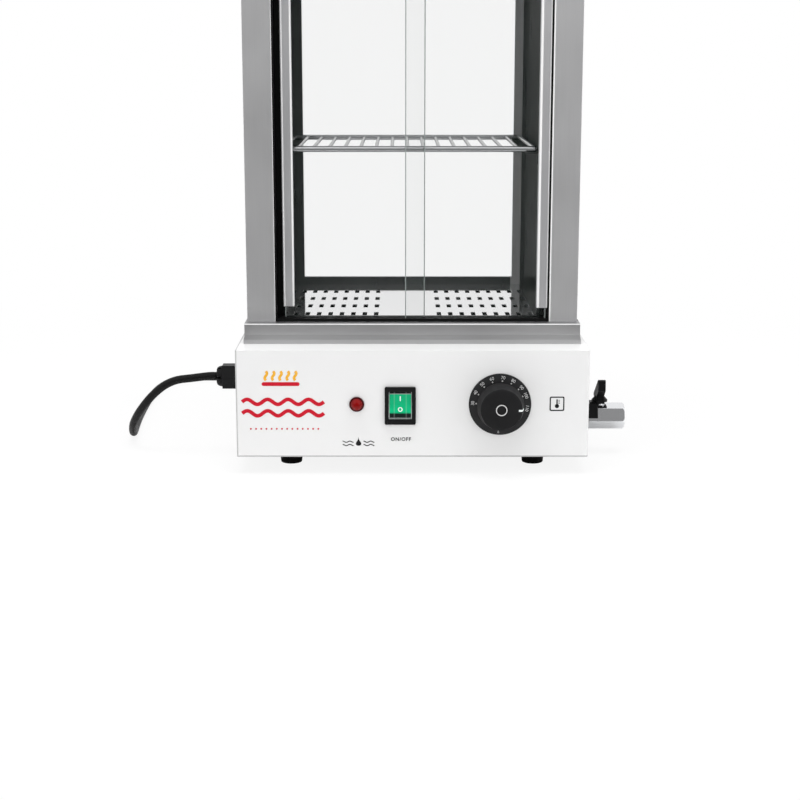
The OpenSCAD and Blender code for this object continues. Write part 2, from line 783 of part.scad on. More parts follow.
module lamp_body() {
    in_place() color([0.2, 0.2, 0.2]) translate([-lamp_left, 0, control_z]) {
        bar_y(22, lamp_thread_d);
        translate([0, wall_t, 0]) rotate([-90, 0, 0]) cylinder(h = 4, d = 15, $fn = 6);
        for (s = [-1, 1]) box(s * 2.5 - 0.4, 22 - eps, -1.5, s * 2.5 + 0.4, 29, 1.5);
    }
}

module switch_housing() {
    in_place() color([0.07, 0.07, 0.07]) translate([-switch_left, 0, switch_z]) difference() {
        union() {
            rotate([90, 0, 0]) linear_extrude(frame_t) rounded_rect(switch_w, switch_h, 1.2);
            box(-switch_hole_w / 2 + fitting_gap, -eps, -switch_hole_h / 2 + fitting_gap,
                switch_hole_w / 2 - fitting_gap, switch_depth, switch_hole_h / 2 - fitting_gap);
            for (s = [-1, 0, 1])
                box(-3, switch_depth - eps, s * 8 - 0.4, 3, switch_depth + 7, s * 8 + 0.4);
        }
        box(-rocker_w / 2 - moving_gap, -frame_t - past, -rocker_window / 2,
            rocker_w / 2 + moving_gap, rocker_axis_y, rocker_window / 2);
        translate([-rocker_w / 2 - moving_gap, rocker_axis_y, 0])
            bar_x(rocker_w + 2 * moving_gap, 2 * rocker_r + 2 * moving_gap);
        translate([-rocker_w / 2 - 1, rocker_axis_y, 0])
            bar_x(rocker_w + 2, 3 + 2 * running_gap);
    }
}

// The rocker is a round drum cut by two flats; it stands with its upper half pressed in
module switch_rocker() {
    in_place() color([0.1, 0.7, 0.35]) translate([-switch_left, rocker_axis_y, switch_z])
        rotate([-rocker_tilt, 0, 0]) {
            difference() {
                translate([-rocker_w / 2, 0, 0]) bar_x(rocker_w, 2 * rocker_r);
                for (s = [-1, 1]) translate([-rocker_w, -rocker_valley, 0])
                    rotate([s * rocker_tilt, 0, 0])
                        translate([0, -4 * rocker_r, s > 0 ? 0 : -4 * rocker_r])
                            cube([2 * rocker_w, 4 * rocker_r, 4 * rocker_r]);
                box(-rocker_w, 3, -2 * rocker_r, rocker_w, 2 * rocker_r, 2 * rocker_r);
            }
            translate([-rocker_w / 2 - 0.8, 0, 0]) bar_x(rocker_w + 1.6, 3);
        }
}

module thermostat_body() {
    in_place() color("silver") translate([dial_right, wall_t, control_z]) difference() {
        union() {
            box(-thermostat_w / 2, 0, -11, thermostat_w / 2, 1.2, 11);
            box(-thermostat_w / 2 + 3, 1.2 - eps, -thermostat_h / 2,
                thermostat_w / 2 - 3, thermostat_d, thermostat_h / 2);
        }
        translate([0, -past, 0]) bar_y(past + shaft_seat + 1, shaft_d + 2 * running_gap);
        for (s = [-1, 1]) translate([s * thermostat_screw_pitch / 2, -past, 0])
            bar_y(past + 7, screw_d + 2 * fitting_gap);
    }
}

module thermostat_screws() {
    in_place() color("lightgray") for (s = [-1, 1])
        translate([dial_right + s * thermostat_screw_pitch / 2, 0, control_z])
            rotate([90, 0, 0]) screw(wall_t + 5, screw_d, 5.6, screw_head_h);
}

module thermostat_shaft() {
    in_place() color("gainsboro") translate([dial_right, shaft_tip - knob_reach, control_z])
        bar_y(knob_reach - shaft_tip + wall_t + shaft_seat, shaft_d);
}

module thermostat_probe() {
    in_place() color([0.72, 0.45, 0.3]) translate([dial_right, 0, probe_z]) {
        probe_y = tank_front - probe_nut_t - probe_tail;
        translate([0, probe_y, 0]) bar_y(tank_front + probe_l - probe_y, probe_d);
        translate([0, tank_front - probe_nut_t, 0]) rotate([-90, 0, 0])
            cylinder(h = probe_nut_t, d = probe_nut_d, $fn = 6);
        translate([0, wall_t + thermostat_d, 0])
            bar_y(probe_y - wall_t - thermostat_d + eps, capillary_d);
    }
}

module dial_scale() {
    in_place() color([0.2, 0.2, 0.2]) translate([dial_right, 0, control_z]) difference() {
        translate([0, -scale_t, 0]) bar_y(scale_t, scale_d);
        translate([0, -past, 0]) bar_y(2 * past, scale_hole_d);
    }
}

// The knob: a skirt, a tapered body and a ring on its face
module dial_knob() {
    in_place() color([0.12, 0.12, 0.12]) translate([dial_right, 0, control_z])
        rotate([90, 0, 0]) rotate_extrude() {
            foot = scale_t + knob_gap;
            polygon([[shaft_d / 2 + running_gap, foot + 4], [knob_hollow_d / 2, foot + 4],
                [knob_hollow_d / 2, foot], [knob_d / 2 - knob_draft, foot], [knob_d / 2, foot + knob_skirt],
                [knob_face_d / 2 + 0.8, knob_reach - 1.2], [knob_face_d / 2, knob_reach - 0.6],
                [5, knob_reach - 0.6], [4.6, knob_reach], [3.9, knob_reach],
                [3.5, knob_reach - 0.6], [0, knob_reach - 0.6], [0, knob_reach - knob_face_t],
                [shaft_d / 2 + running_gap, knob_reach - knob_face_t]]);
        }
}

// Lead entry

module terminal_block() {
    in_place() color("ivory") difference() {
        box(lead_x - block_w / 2, gland_back - block_d / 2, base_z + sheet_t,
            lead_x + block_w / 2, gland_back + block_d / 2, base_z + sheet_t + block_h);
        for (s = [-1, 0, 1])
            translate([lead_x, gland_back + s * 8, base_z + sheet_t + block_h - 6])
                translate([0, 0, s == 0 ? past : 0]) cylinder(h = 3 * past, d = 4);
    }
}

module gland_body() {
    in_place() color([0.08, 0.08, 0.08]) translate([0, gland_back, gland_z]) difference() {
        union() {
            translate([-base_w / 2 - gland_flange_t, 0, 0])
                hex_bar_x(gland_flange_t, gland_hex, 30);
            translate([-base_w / 2 - gland_reach + gland_dome + 1, 0, 0])
                bar_x(gland_reach - gland_dome - 1 + wall_t + locknut_t + 0.5, gland_thread_d);
        }
        translate([gland_tip - past, 0, 0]) bar_x(base_w / 2, gland_bore);
    }
}

module gland_nut() {
    nut_l = gland_reach - gland_flange_t - gland_dome;
    petal_r = gland_hex * 0.31;
    petal_t = gland_hex * 0.28;
    petal_gap = 1.6;
    in_place() color([0.08, 0.08, 0.08]) translate([gland_tip, gland_back, gland_z])
        difference() {
            union() {
                translate([gland_dome, 0, 0]) hex_bar_x(nut_l, gland_hex, 30);
                rotate([0, 90, 0]) rotate_extrude() intersection() {
                    translate([petal_r, gland_dome + eps])
                        scale([petal_t / 2, gland_dome]) circle(1);
                    square([gland_hex, gland_dome + eps]);
                }
            }
            translate([-past, 0, 0]) bar_x(gland_reach, gland_bore);
            translate([gland_dome + 0.9, 0, 0]) bar_x(nut_l + past, gland_thread_d
                + 2 * fitting_gap);
            // grooves between the petals of the dome
            for (a = [0 : 60 : 359]) rotate([a + 30, 0, 0])
                translate([-past, -petal_gap / 2, 0])
                    cube([gland_dome + past - 0.8, petal_gap, gland_hex]);
        }
}

module gland_locknut() {
    in_place() color([0.08, 0.08, 0.08])
        translate([-base_w / 2 + wall_t, gland_back, gland_z]) difference() {
            hex_bar_x(locknut_t, gland_hex, 30);
            translate([-past, 0, 0]) bar_x(locknut_t + 2 * past, gland_thread_d
                + 2 * fitting_gap);
        }
}

module inner_lead() {
    bend_x = lead_x - lead_bend;
    block_top = base_z + sheet_t + block_h;
    in_place() color([0.06, 0.06, 0.06]) {
        translate([gland_tip, gland_back, gland_z]) bar_x(bend_x - gland_tip, cord_d);
        translate([bend_x, gland_back, gland_z - lead_bend]) rotate([90, 0, 0])
            rotate_extrude(angle = 90) translate([lead_bend, 0]) circle(d = cord_d);
        translate([lead_x, gland_back, block_top])
            cylinder(h = gland_z - lead_bend - block_top, d = cord_d);
    }
}

// Free cord

module mains_cord() {
    in_place() color([0.06, 0.06, 0.06]) tube(cord_curve, cord_d, cord_sides);
}

module cord_coil() {
    in_place() color([0.06, 0.06, 0.06]) tube(coil_path, cord_d, coil_sides);
}

module cord_tail() {
    in_place() color([0.06, 0.06, 0.06]) tube(tail_curve, cord_d, cord_sides);
}

// A flat strap round the coil's turns, on the side away from the base
module coil_tie() {
    tall = coil_pitch + cord_d + 2 * tie_gap;
    wide = coil_r_out - coil_r_in + cord_d + 2 * tie_gap;
    in_place() color([0.1, 0.1, 0.1])
        translate([coil_x - tie_w / 2, coil_y + coil_mean_d / 2, coil_z + coil_pitch / 2])
            rotate([90, 0, 90]) linear_extrude(tie_w) difference() {
                rounded_rect(wide + 2 * tie_t, tall + 2 * tie_t, 3);
                rounded_rect(wide, tall, 2.4);
            }
}

module plug_body() {
    grip_d = plug_d * 0.72;
    in_place() color([0.06, 0.06, 0.06]) translate([plug_x, plug_y, plug_z]) difference() {
        rotate([0, 90, 0]) rotate_extrude() polygon([[0, 0], [cord_d / 2 + 1.6, 0],
            [cord_d / 2 + 2, 1], [cord_d / 2 + 4, plug_relief - 2],
            [grip_d / 2 - 3, plug_relief], [grip_d / 2, plug_relief + 4],
            [grip_d / 2 - 2, plug_relief + plug_body_l - plug_flange_l - 4],
            [plug_d / 2, plug_relief + plug_body_l - plug_flange_l],
            [plug_d / 2, plug_relief + plug_body_l - 1],
            [plug_d / 2 - 1, plug_relief + plug_body_l], [0, plug_relief + plug_body_l]]);
        // ring grooves of the strain relief
        for (i = [0 : 3]) translate([4 + i * 6, 0, 0]) rotate([0, 90, 0]) difference() {
            cylinder(h = 2, d = plug_d);
            translate([0, 0, -past]) cylinder(h = 2 + 2 * past, d = cord_d + 2.4);
        }
        // earth contact grooves
        for (s = [-1, 1])
            box(plug_relief + plug_body_l - 6, s * plug_d / 2 - 2.5, -3.5,
                plug_relief + plug_body_l + past, s * plug_d / 2 + 2.5, 3.5);
        for (s = [-1, 1]) translate([plug_relief + plug_body_l - 8, 0, s * pin_pitch / 2])
            bar_x(8 + past, pin_d + 2 * fitting_gap);
    }
}

module plug_pins() {
    in_place() color("gainsboro") for (s = [-1, 1])
        translate([plug_face_x - 8, plug_y, plug_z + s * pin_pitch / 2]) rotate([0, 90, 0])
            rotate_extrude() polygon([[0, 0], [pin_d / 2, 0], [pin_d / 2, pin_l + 8 - 1.5],
                [pin_d / 2 - 1, pin_l + 8], [0, pin_l + 8]]);
}

// Cabinet

module collar_frame() {
    foot_z = base_top + collar_foot_h;
    bend_z = foot_z + collar_bend_h;
    skirt = [[0, base_top], [0, foot_z], [collar_flare, bend_z],
        [collar_flare, collar_top], [collar_flare + collar_turn, collar_top],
        [collar_flare + collar_turn, collar_top - sheet_t],
        [collar_flare + sheet_t, collar_top - sheet_t],
        [collar_flare + sheet_t, bend_z], [sheet_t, foot_z], [sheet_t, base_top]];
    trough_y = track_y - fitting_gap - sheet_t;
    in_place() color([0.6, 0.6, 0.61]) difference() {
        union() {
            translate([0, collar_front + collar_d / 2, 0])
                folded_frame(collar_w, collar_d, skirt, base_top, collar_top);
            difference() {
                box(-collar_w / 2 + collar_turn, collar_front + post_ledge, collar_top - sheet_t,
                    collar_w / 2 - collar_turn, collar_front + collar_d - collar_turn,
                    collar_top);
                box(plate_x + plate_rest, trough_back + plate_rest, collar_top - past,
                    plate_x + plate_w - plate_rest, plate_y + plate_d - plate_rest,
                    collar_top + past);
            }
            box(-doorway - sheet_t, trough_y, track_z - sheet_t,
                doorway + sheet_t, trough_back, collar_top);
        }
        box(-doorway, trough_y + sheet_t, track_z, doorway, trough_back - sheet_t,
            collar_top + past);
    }
}

// A side panel seen from above: skin, front post with its lip, and rear fold
module side_plan() {
    half = cabinet_w / 2;
    polygon([[half, cabinet_y], [half, cabinet_back], [half - 14, cabinet_back],
        [half - 14, cabinet_back - sheet_t], [half - sheet_t, cabinet_back - sheet_t],
        [half - sheet_t, cabinet_y + sheet_t], [doorway + sheet_t, cabinet_y + sheet_t],
        [doorway + sheet_t, jamb_back], [doorway, jamb_back], [doorway, cabinet_y]]);
}

module side_panel() {
    difference() {
        translate([0, 0, collar_top]) linear_extrude(roof_under - collar_top) side_plan();
        for (y = side_screw_y) translate([cabinet_w / 2 - past, y, roof_screw_z])
            bar_x(2 * past, screw_d + 2 * fitting_gap);
        translate([rear_screw_x, cabinet_back - 2 * past, 0]) for (z = rear_screw_z)
            translate([0, 0, z]) bar_y(4 * past, screw_d + 2 * fitting_gap);
    }
}

module right_side_panel() {
    in_place() color([0.6, 0.6, 0.61]) side_panel();
}

module left_side_panel() {
    in_place() color([0.6, 0.6, 0.61]) mirror([1, 0, 0]) side_panel();
}

// Inner walls: a sheet beside the steam chamber and a fold that closes the gap to the post
module chamber_wall(x, fold_to, outward) {
    top = roof_under;
    box(min(x, x + outward * sheet_t), chamber_y, collar_top,
        max(x, x + outward * sheet_t), rear_y, top);
    box(min(x, fold_to), chamber_y, collar_top, max(x, fold_to), chamber_y + sheet_t, top);
}

module left_chamber_wall() {
    in_place() color([0.3, 0.3, 0.31])
        chamber_wall(chamber_left, -cabinet_w / 2 + sheet_t, -1);
}

module right_chamber_wall() {
    in_place() color([0.3, 0.3, 0.31])
        chamber_wall(chamber_right, cabinet_w / 2 - sheet_t, 1);
}

module rear_panel() {
    in_place() color([0.3, 0.3, 0.31]) translate([0, rear_y, 0])
        window_sheet(-cabinet_w / 2 + sheet_t, collar_top, cabinet_w / 2 - sheet_t, roof_under,
            sheet_t, 0);
}

module rear_cover() {
    in_place() color([0.6, 0.6, 0.61]) difference() {
        translate([0, cabinet_back - 2 * sheet_t, 0])
            window_sheet(-cabinet_w / 2 + sheet_t, collar_top, cabinet_w / 2 - sheet_t,
                roof_under, sheet_t, 0);
        for (s = [-1, 1], z = rear_screw_z)
            translate([s * rear_screw_x, cabinet_back - 2 * past, z])
                bar_y(4 * past, screw_d + 2 * fitting_gap);
    }
}

module rear_glass() {
    in_place() color([0.85, 0.9, 0.9, 0.4]) translate([0, rear_y + sheet_t + 0.5, 0])
        box(window_x - window_w / 2 - glass_lap, 0, window_z - seal_lap,
            window_x + window_w / 2 + glass_lap, glass_t, window_z + window_h + glass_lap);
}

module rear_glass_seal() {
    in_place() color([0.08, 0.08, 0.08]) translate([0, rear_y + sheet_t, 0]) difference() {
        box(window_x - window_w / 2 - glass_lap - seal_edge, 0, window_z - seal_lap - 2,
            window_x + window_w / 2 + glass_lap + seal_edge, seal_t,
            window_z + window_h + glass_lap + seal_edge);
        box(window_x - window_w / 2 - seal_lap, -past, window_z - 1,
            window_x + window_w / 2 + seal_lap, seal_t + past, window_z + window_h + seal_lap);
        box(window_x - window_w / 2 - glass_lap, 0.5, window_z - seal_lap,
            window_x + window_w / 2 + glass_lap, 0.5 + glass_t,
            window_z + window_h + glass_lap);
    }
}

module roof_cover() {
    section = [[0, roof_top - roof_skirt], [0, roof_top - 1], [1, roof_top], [12, roof_top],
        [12, roof_under], [sheet_t, roof_under], [sheet_t, roof_top - roof_skirt]];
    w = cabinet_w + 2 * sheet_t;
    d = cabinet_d + 2 * sheet_t;
    in_place() color([0.6, 0.6, 0.61]) translate([0, cabinet_y + cabinet_d / 2, 0])
        difference() {
            union() {
                folded_frame(w, d, section, roof_top - roof_skirt, roof_top);
                box(-w / 2 + 10, -d / 2 + 10, roof_under, w / 2 - 10, d / 2 - 10, roof_top);
            }
            for (s = [-1, 1], y = side_screw_y)
                translate([s * w / 2 - 2 * past, y - cabinet_y - cabinet_d / 2, roof_screw_z])
                    bar_x(4 * past, screw_d + 2 * fitting_gap);
        }
}

module cabinet_screws() {
    in_place() color("lightgray") {
        for (s = [-1, 1], y = side_screw_y)
            translate([s * (cabinet_w / 2 + sheet_t), y, roof_screw_z]) rotate([0, s * 90, 0])
                screw(6, screw_d, screw_head_d, screw_head_h);
        for (s = [-1, 1], z = rear_screw_z)
            translate([s * rear_screw_x, cabinet_back, z]) rotate([-90, 0, 0])
                screw(6, screw_d, screw_head_d, screw_head_h);
    }
}

// Doors and their tracks

module bottom_door_track() {
    in_place() color([0.06, 0.06, 0.06]) difference() {
        box(-doorway, track_y, track_z, doorway, track_back, track_top);
        for (y = [front_slot_y, rear_slot_y])
            box(-doorway - past, y - track_slot / 2, track_z + track_floor,
                doorway + past, y + track_slot / 2, track_top + past);
    }
}

module top_door_track() {
    in_place() color([0.06, 0.06, 0.06]) difference() {
        box(-doorway, track_y, top_track_z, doorway, track_back, roof_under);
        for (y = [front_slot_y, rear_slot_y])
            box(-doorway - past, y - track_slot / 2, top_track_z - past,
                doorway + past, y + track_slot / 2, top_track_z + top_slot);
    }
}

module door_jamb() {
    translate([0, 0, track_top]) linear_extrude(top_track_z - track_top)
        polygon([[doorway, track_y], [doorway, jamb_back], [doorway - jamb_stop_w, jamb_back],
            [doorway - jamb_stop_w, jamb_y], [doorway - jamb_t, jamb_y],
            [doorway - jamb_t, track_y]]);
}

module right_door_jamb() {
    in_place() color([0.06, 0.06, 0.06]) door_jamb();
}

module left_door_jamb() {
    in_place() color([0.06, 0.06, 0.06]) mirror([1, 0, 0]) door_jamb();
}

module door_glass(x, y) {
    box(x, y - glass_t / 2, door_z, x + door_w, y + glass_t / 2, door_top);
}

// A U-shaped profile clipped over the glass's upright edge; turn is 1 on a left edge
module door_handle(edge_x, y, turn) {
    z0 = door_z + handle_inset;
    z1 = door_top - handle_inset;
    difference() {
        box(min(edge_x - turn * handle_wall, edge_x + turn * (handle_w - handle_wall)),
            y - handle_t / 2, z0,
            max(edge_x - turn * handle_wall, edge_x + turn * (handle_w - handle_wall)),
            y + handle_t / 2, z1);
        box(min(edge_x, edge_x + turn * handle_w), y - glass_t / 2, z0 - past,
            max(edge_x, edge_x + turn * handle_w), y + glass_t / 2, z1 + past);
    }
}

module left_door_glass() {
    in_place() color([0.85, 0.9, 0.9, 0.4]) door_glass(left_door_x, rear_slot_y);
}

module right_door_glass() {
    in_place() color([0.85, 0.9, 0.9, 0.4]) door_glass(right_door_x, front_slot_y);
}

module left_door_handle() {
    in_place() color([0.65, 0.65, 0.66]) door_handle(left_door_x, rear_slot_y, 1);
}

module right_door_handle() {
    in_place() color([0.65, 0.65, 0.66]) door_handle(right_door_x + door_w, front_slot_y, -1);
}

// Inside the chamber

module steam_plate() {
    middle = plate_x + plate_w / 2;
    in_place() color("gainsboro") difference() {
        box(plate_x, plate_y, collar_top, plate_x + plate_w, plate_y + plate_d, plate_top);
        for (s = [-1, 1], i = [0 : slot_columns - 1], j = [0 : slot_rows - 1])
            translate([middle + s * (slot_group_gap / 2 + i * slot_pitch_x),
                plate_y + slot_first_row + j * slot_pitch_y, collar_top])
                cube([slot_w, slot_l, 2 * past], center = true);
    }
}

module bun_shelf() {
    x0 = plate_x + shelf_frame_d / 2;
    x1 = plate_x + plate_w - shelf_frame_d / 2;
    y0 = plate_y + rail_inset;
    y1 = plate_y + plate_d - rail_inset;
    z = shelf_z + shelf_frame_d / 2;
    in_place() color("gainsboro") {
        for (x = [x0, x1]) translate([x, y0, z]) bar_y(y1 - y0, shelf_frame_d);
        for (y = [y0, y1]) translate([x0, y, z]) bar_x(x1 - x0, shelf_frame_d);
        for (x = [x0, x1], y = [y0, y1]) translate([x, y, z]) sphere(d = shelf_frame_d);
        for (i = [1 : shelf_wires])
            translate([x0 + (x1 - x0) * i / (shelf_wires + 1), y0, z])
                bar_y(y1 - y0, shelf_wire_d);
    }
}

module shelf_rails() {
    in_place() color("silver") for (s = [-1, 1]) {
        wall_x = s < 0 ? chamber_left : chamber_right;
        translate([wall_x, 0, shelf_z]) {
            box(min(0, -s * rail_w), plate_y + 4, -sheet_t,
                max(0, -s * rail_w), plate_y + plate_d - 4, 0);
            box(min(0, -s * sheet_t), plate_y + 4, -rail_w,
                max(0, -s * sheet_t), plate_y + plate_d - 4, 0);
        }
    }
}

base_housing();
bottom_plate();
rubber_feet();
foot_screws();
bottom_screws();
water_tank();
heating_element();
heater_nuts();
dry_run_cutout();
drain_pipe();
drain_nuts();
valve_body();
valve_ball();
valve_stem();
valve_lever();
lever_stop();
lamp_lens();
lamp_body();
switch_housing();
switch_rocker();
thermostat_body();
thermostat_screws();
thermostat_shaft();
thermostat_probe();
dial_scale();
dial_knob();
terminal_block();
gland_body();
gland_nut();
gland_locknut();
inner_lead();
mains_cord();
cord_coil();
cord_tail();
coil_tie();
plug_body();
plug_pins();
collar_frame();
left_side_panel();
right_side_panel();
left_chamber_wall();
right_chamber_wall();
rear_panel();
rear_cover();
rear_glass();
rear_glass_seal();
roof_cover();
bottom_door_track();
top_door_track();
left_door_jamb();
right_door_jamb();
left_door_glass();
right_door_glass();
left_door_handle();
right_door_handle();
steam_plate();
bun_shelf();
shelf_rails();
cabinet_screws();
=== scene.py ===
# %% [markdown]
# # A hot dog steamer, dressed for its picture
# The steel cabinet, its doors, dial, valve and lead already exist as exact solids, packed from
# CAD. This lesson keeps those solids where they are and gives them what a solid can't have:
# finishes, printed marks, a smooth lead, and the light that they were seen in. Everything is in
# metres, in the CAD model's own frame, so nothing has to be fitted by eye.

# %% Load the frame
import math

import bmesh
import bpy
import numpy as np
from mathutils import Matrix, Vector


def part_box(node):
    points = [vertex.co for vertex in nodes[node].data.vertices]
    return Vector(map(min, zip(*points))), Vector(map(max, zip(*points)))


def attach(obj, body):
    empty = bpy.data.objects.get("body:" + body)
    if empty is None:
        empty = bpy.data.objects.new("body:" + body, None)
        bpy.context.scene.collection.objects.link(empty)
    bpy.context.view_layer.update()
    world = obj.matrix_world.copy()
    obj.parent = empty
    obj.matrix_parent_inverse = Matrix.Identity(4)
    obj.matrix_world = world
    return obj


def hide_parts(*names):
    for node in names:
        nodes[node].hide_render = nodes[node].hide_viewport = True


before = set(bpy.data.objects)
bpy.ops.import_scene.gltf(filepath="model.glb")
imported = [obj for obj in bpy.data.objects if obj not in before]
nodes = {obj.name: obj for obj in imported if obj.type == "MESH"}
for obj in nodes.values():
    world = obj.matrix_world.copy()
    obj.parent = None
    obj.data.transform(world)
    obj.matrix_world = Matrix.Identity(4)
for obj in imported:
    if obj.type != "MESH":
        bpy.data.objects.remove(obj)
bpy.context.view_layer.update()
MM = 0.001

# %% [markdown]
# The lesson measures from the base, as the CAD source does: x from the middle of the base, y back
# from its front face, z up from the table, all in millimetres. One function turns such a point
# into the frame. The base's own box says where its middle and its front face are, so no number
# has to be copied for that.

# %% Bench coordinates
base_low, base_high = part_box("base_housing")
BENCH = np.array([(base_low.x + base_high.x) / 2, base_low.y, 0.0])
BASE_HALF_W = (base_high.x - base_low.x) / 2 / MM


def at(*points):
    """Bench points in millimetres as frame points in metres: point * 0.001 + bench origin."""
    return np.asarray(points, float).reshape(-1, 3) * MM + BENCH


print("bench origin in the frame:", BENCH.round(5))

# %% [markdown]
# ## Camera
# The camera comes first, because the lead is checked against what it sees. Its place was solved
# from the base: the width of the front face, the depth of its top ledge and the height of the
# cabinet's sill fix the distance, the tilt and the focal length. It looks straight back and a
# little down, so a turn about x is all that it needs.

# %% Camera
bpy.context.scene.view_settings.view_transform = "Standard"
PICTURE_PX = 800
FOCAL_PX = 1642
CAMERA_AT = (-10.2, -1316, 347)
CAMERA_TILT_DEG = 12.2

camera_data = bpy.data.cameras.new("camera")
camera_data.sensor_width = 36
camera_data.lens = camera_data.sensor_width * FOCAL_PX / PICTURE_PX
camera_data.clip_end = 30
camera = bpy.data.objects.new("camera", camera_data)
camera.location = at(CAMERA_AT)[0]
camera.rotation_euler = (math.radians(90 - CAMERA_TILT_DEG), 0, 0)
bpy.context.scene.collection.objects.link(camera)
bpy.context.scene.camera = camera
print("lens", round(camera_data.lens, 2), "mm")

# %% [markdown]
# ## Making surfaces
# Most new pieces here are one of two things: a tube whose rings follow a path, or a flat outline
# given a little height. Both are made from whole arrays of points. They could also be drawn by
# hand in Edit Mode, but a formula is exact, and it can be read again next year.


# %% Mesh helpers
def new_object(name, points, faces, smooth=True):
    """A mesh object at the origin from an array of frame points and lists of corner numbers."""
    mesh = bpy.data.meshes.new(name)
    mesh.from_pydata(np.asarray(points).tolist(), [], [list(map(int, f)) for f in faces])
    mesh.polygons.foreach_set("use_smooth", np.full(len(mesh.polygons), smooth))
    mesh.update()
    made = bpy.data.objects.new(name, mesh)
    bpy.context.scene.collection.objects.link(made)
    return made


def tube_faces(rows, columns):
    """Corner numbers of the quads between rows of points, each row a closed ring."""
    r, c = np.meshgrid(np.arange(rows - 1), np.arange(columns), indexing="ij")
    n = (c + 1) % columns
    quads = np.stack([r * columns + c, r * columns + n, (r + 1) * columns + n,
                      (r + 1) * columns + c], -1)
    return quads.reshape(-1, 4)


def tube_mesh(name, path, diameter, sides=16):
    """A round tube along a path. At each point the ring is
    point + r * (cos(a) * side + sin(a) * up), where side = heading x Z and up = side x heading."""
    path = np.asarray(path, float)
    heading = np.gradient(path, axis=0)
    heading /= np.linalg.norm(heading, axis=1, keepdims=True)
    side = np.cross(heading, [0, 0, 1.0])
    side /= np.linalg.norm(side, axis=1, keepdims=True)
    up = np.cross(side, heading)
    a = np.linspace(0, 2 * np.pi, sides, endpoint=False)
    ring = (np.cos(a)[:, None, None] * side + np.sin(a)[:, None, None] * up)
    points = (path + diameter / 2 * ring).transpose(1, 0, 2).reshape(-1, 3)
    faces = tube_faces(len(path), sides).tolist()
    faces += [list(range(sides))[::-1], list(range(len(points) - sides, len(points)))]
    return new_object(name, points, faces)


# %% [markdown]
# ## The mains lead
# A lead of this kind is 1.5 m of 7 mm cable with a moulded plug. It leaves the gland straight,
# sinks to the table and runs round behind the base, where the spare length is wound into a tied
# coil. It is one smooth curve: a spline through a few chosen points, a coil that spirals in on
# its lower layer and out on its upper one, and a short tail to the plug. A curve object with a
# bevel would do too, but a mesh tube has its rings exactly at the points that are measured.

# %% Lead route
CORD_D = 7.0
GLAND_REACH = 22.6
GLAND_BACK = 70
GLAND_Z = 68.5
COIL_TURNS = 2
COIL_PITCH = 7.6
COIL_MEAN_D = 70
COIL_CENTRE = (-55, 350)
COIL_Z = 4.7
GLAND_TIP = -BASE_HALF_W - GLAND_REACH
COIL_R_OUT = COIL_MEAN_D / 2 + COIL_TURNS * COIL_PITCH / 2
COIL_R_IN = COIL_MEAN_D / 2 - COIL_TURNS * COIL_PITCH / 2
COIL_START_Y = COIL_CENTRE[1] - COIL_R_OUT
TAIL_Z = COIL_Z + COIL_PITCH
PLUG_AT = (22, 318, 18.5)

LEAD_POINTS = [
    (GLAND_TIP, GLAND_BACK, GLAND_Z), (GLAND_TIP - CORD_D, GLAND_BACK, GLAND_Z),
    (-190, 70, 66.6), (-202, 70, 65), (-212, 71, 60.8), (-222, 73, 53), (-231, 77, 43),
    (-239, 84, 32), (-245, 94, 21), (-248, 108, 11.5), (-250, 124, 6), (-252, 142, 3.9),
    (-254, 165, 3.6), (-256, 195, 3.6), (-257.5, 230, 3.6), (-258.5, 265, 3.6),
    (-258.5, 302, 3.6), (-256.5, 333, 3.6), (-251.5, 358, 3.6), (-243.5, 374, 3.6),
    (-232, 383, 3.6), (-218, 386, 3.6), (-200, 386, 3.6), (-184, 385, 3.6),
    (-167, 382, 3.6), (-151.5, 374, 3.6), (-139.5, 362, 3.6), (-132, 346, 3.6),
    (-124.5, 330.5, 3.6), (-112.5, 318, 3.7), (-97, 310, 4.2),
    (COIL_CENTRE[0] - 2 * CORD_D, COIL_START_Y, COIL_Z),
    (COIL_CENTRE[0] - CORD_D, COIL_START_Y, COIL_Z)]
TAIL_POINTS = [
    (COIL_CENTRE[0] + CORD_D, COIL_START_Y, TAIL_Z),
    (COIL_CENTRE[0] + 2 * CORD_D, COIL_START_Y, TAIL_Z),
    (-28, 308.5, 13.4), (-14, 312, 15.2), (0, 316.5, 17.2),
    (PLUG_AT[0] - CORD_D, PLUG_AT[1], PLUG_AT[2]), PLUG_AT]


def curve_through(points, steps):
    """A Catmull-Rom curve: between points b and c, with neighbours a and d,
    0.5 * (2b + (c-a)t + (2a-5b+4c-d)t^2 + (3b-a-3c+d)t^3)."""
    p = np.asarray(points, float)
    p = np.vstack([p[:1], p, p[-1:]])
    a, b, c, d = (p[i:len(p) - 3 + i, None] for i in range(4))
    t = (np.arange(steps) / steps)[None, :, None]
    curve = 0.5 * (2 * b + (c - a) * t + (2 * a - 5 * b + 4 * c - d) * t ** 2
                   + (3 * b - a - 3 * c + d) * t ** 3)
    return np.vstack([curve.reshape(-1, 3), p[-1:]])


def coil_points(steps_a_turn):
    """The coil: radius = inner + pitch * |angle - half| / 360, and the height rises by one
    pitch as half a cosine wave over the half turn round the middle."""
    sweep = 720 * COIL_TURNS
    a = np.linspace(0, sweep, 2 * COIL_TURNS * steps_a_turn + 1)
    r = COIL_R_IN + COIL_PITCH * np.abs(a - sweep / 2) / 360
    climb = np.clip((a - sweep / 2 + 90) / 180, 0, 1)
    z = COIL_Z + COIL_PITCH * (1 - np.cos(np.pi * climb)) / 2
    turn = np.radians(a)
    return np.stack([COIL_CENTRE[0] + r * np.sin(turn), COIL_CENTRE[1] - r * np.cos(turn), z], 1)


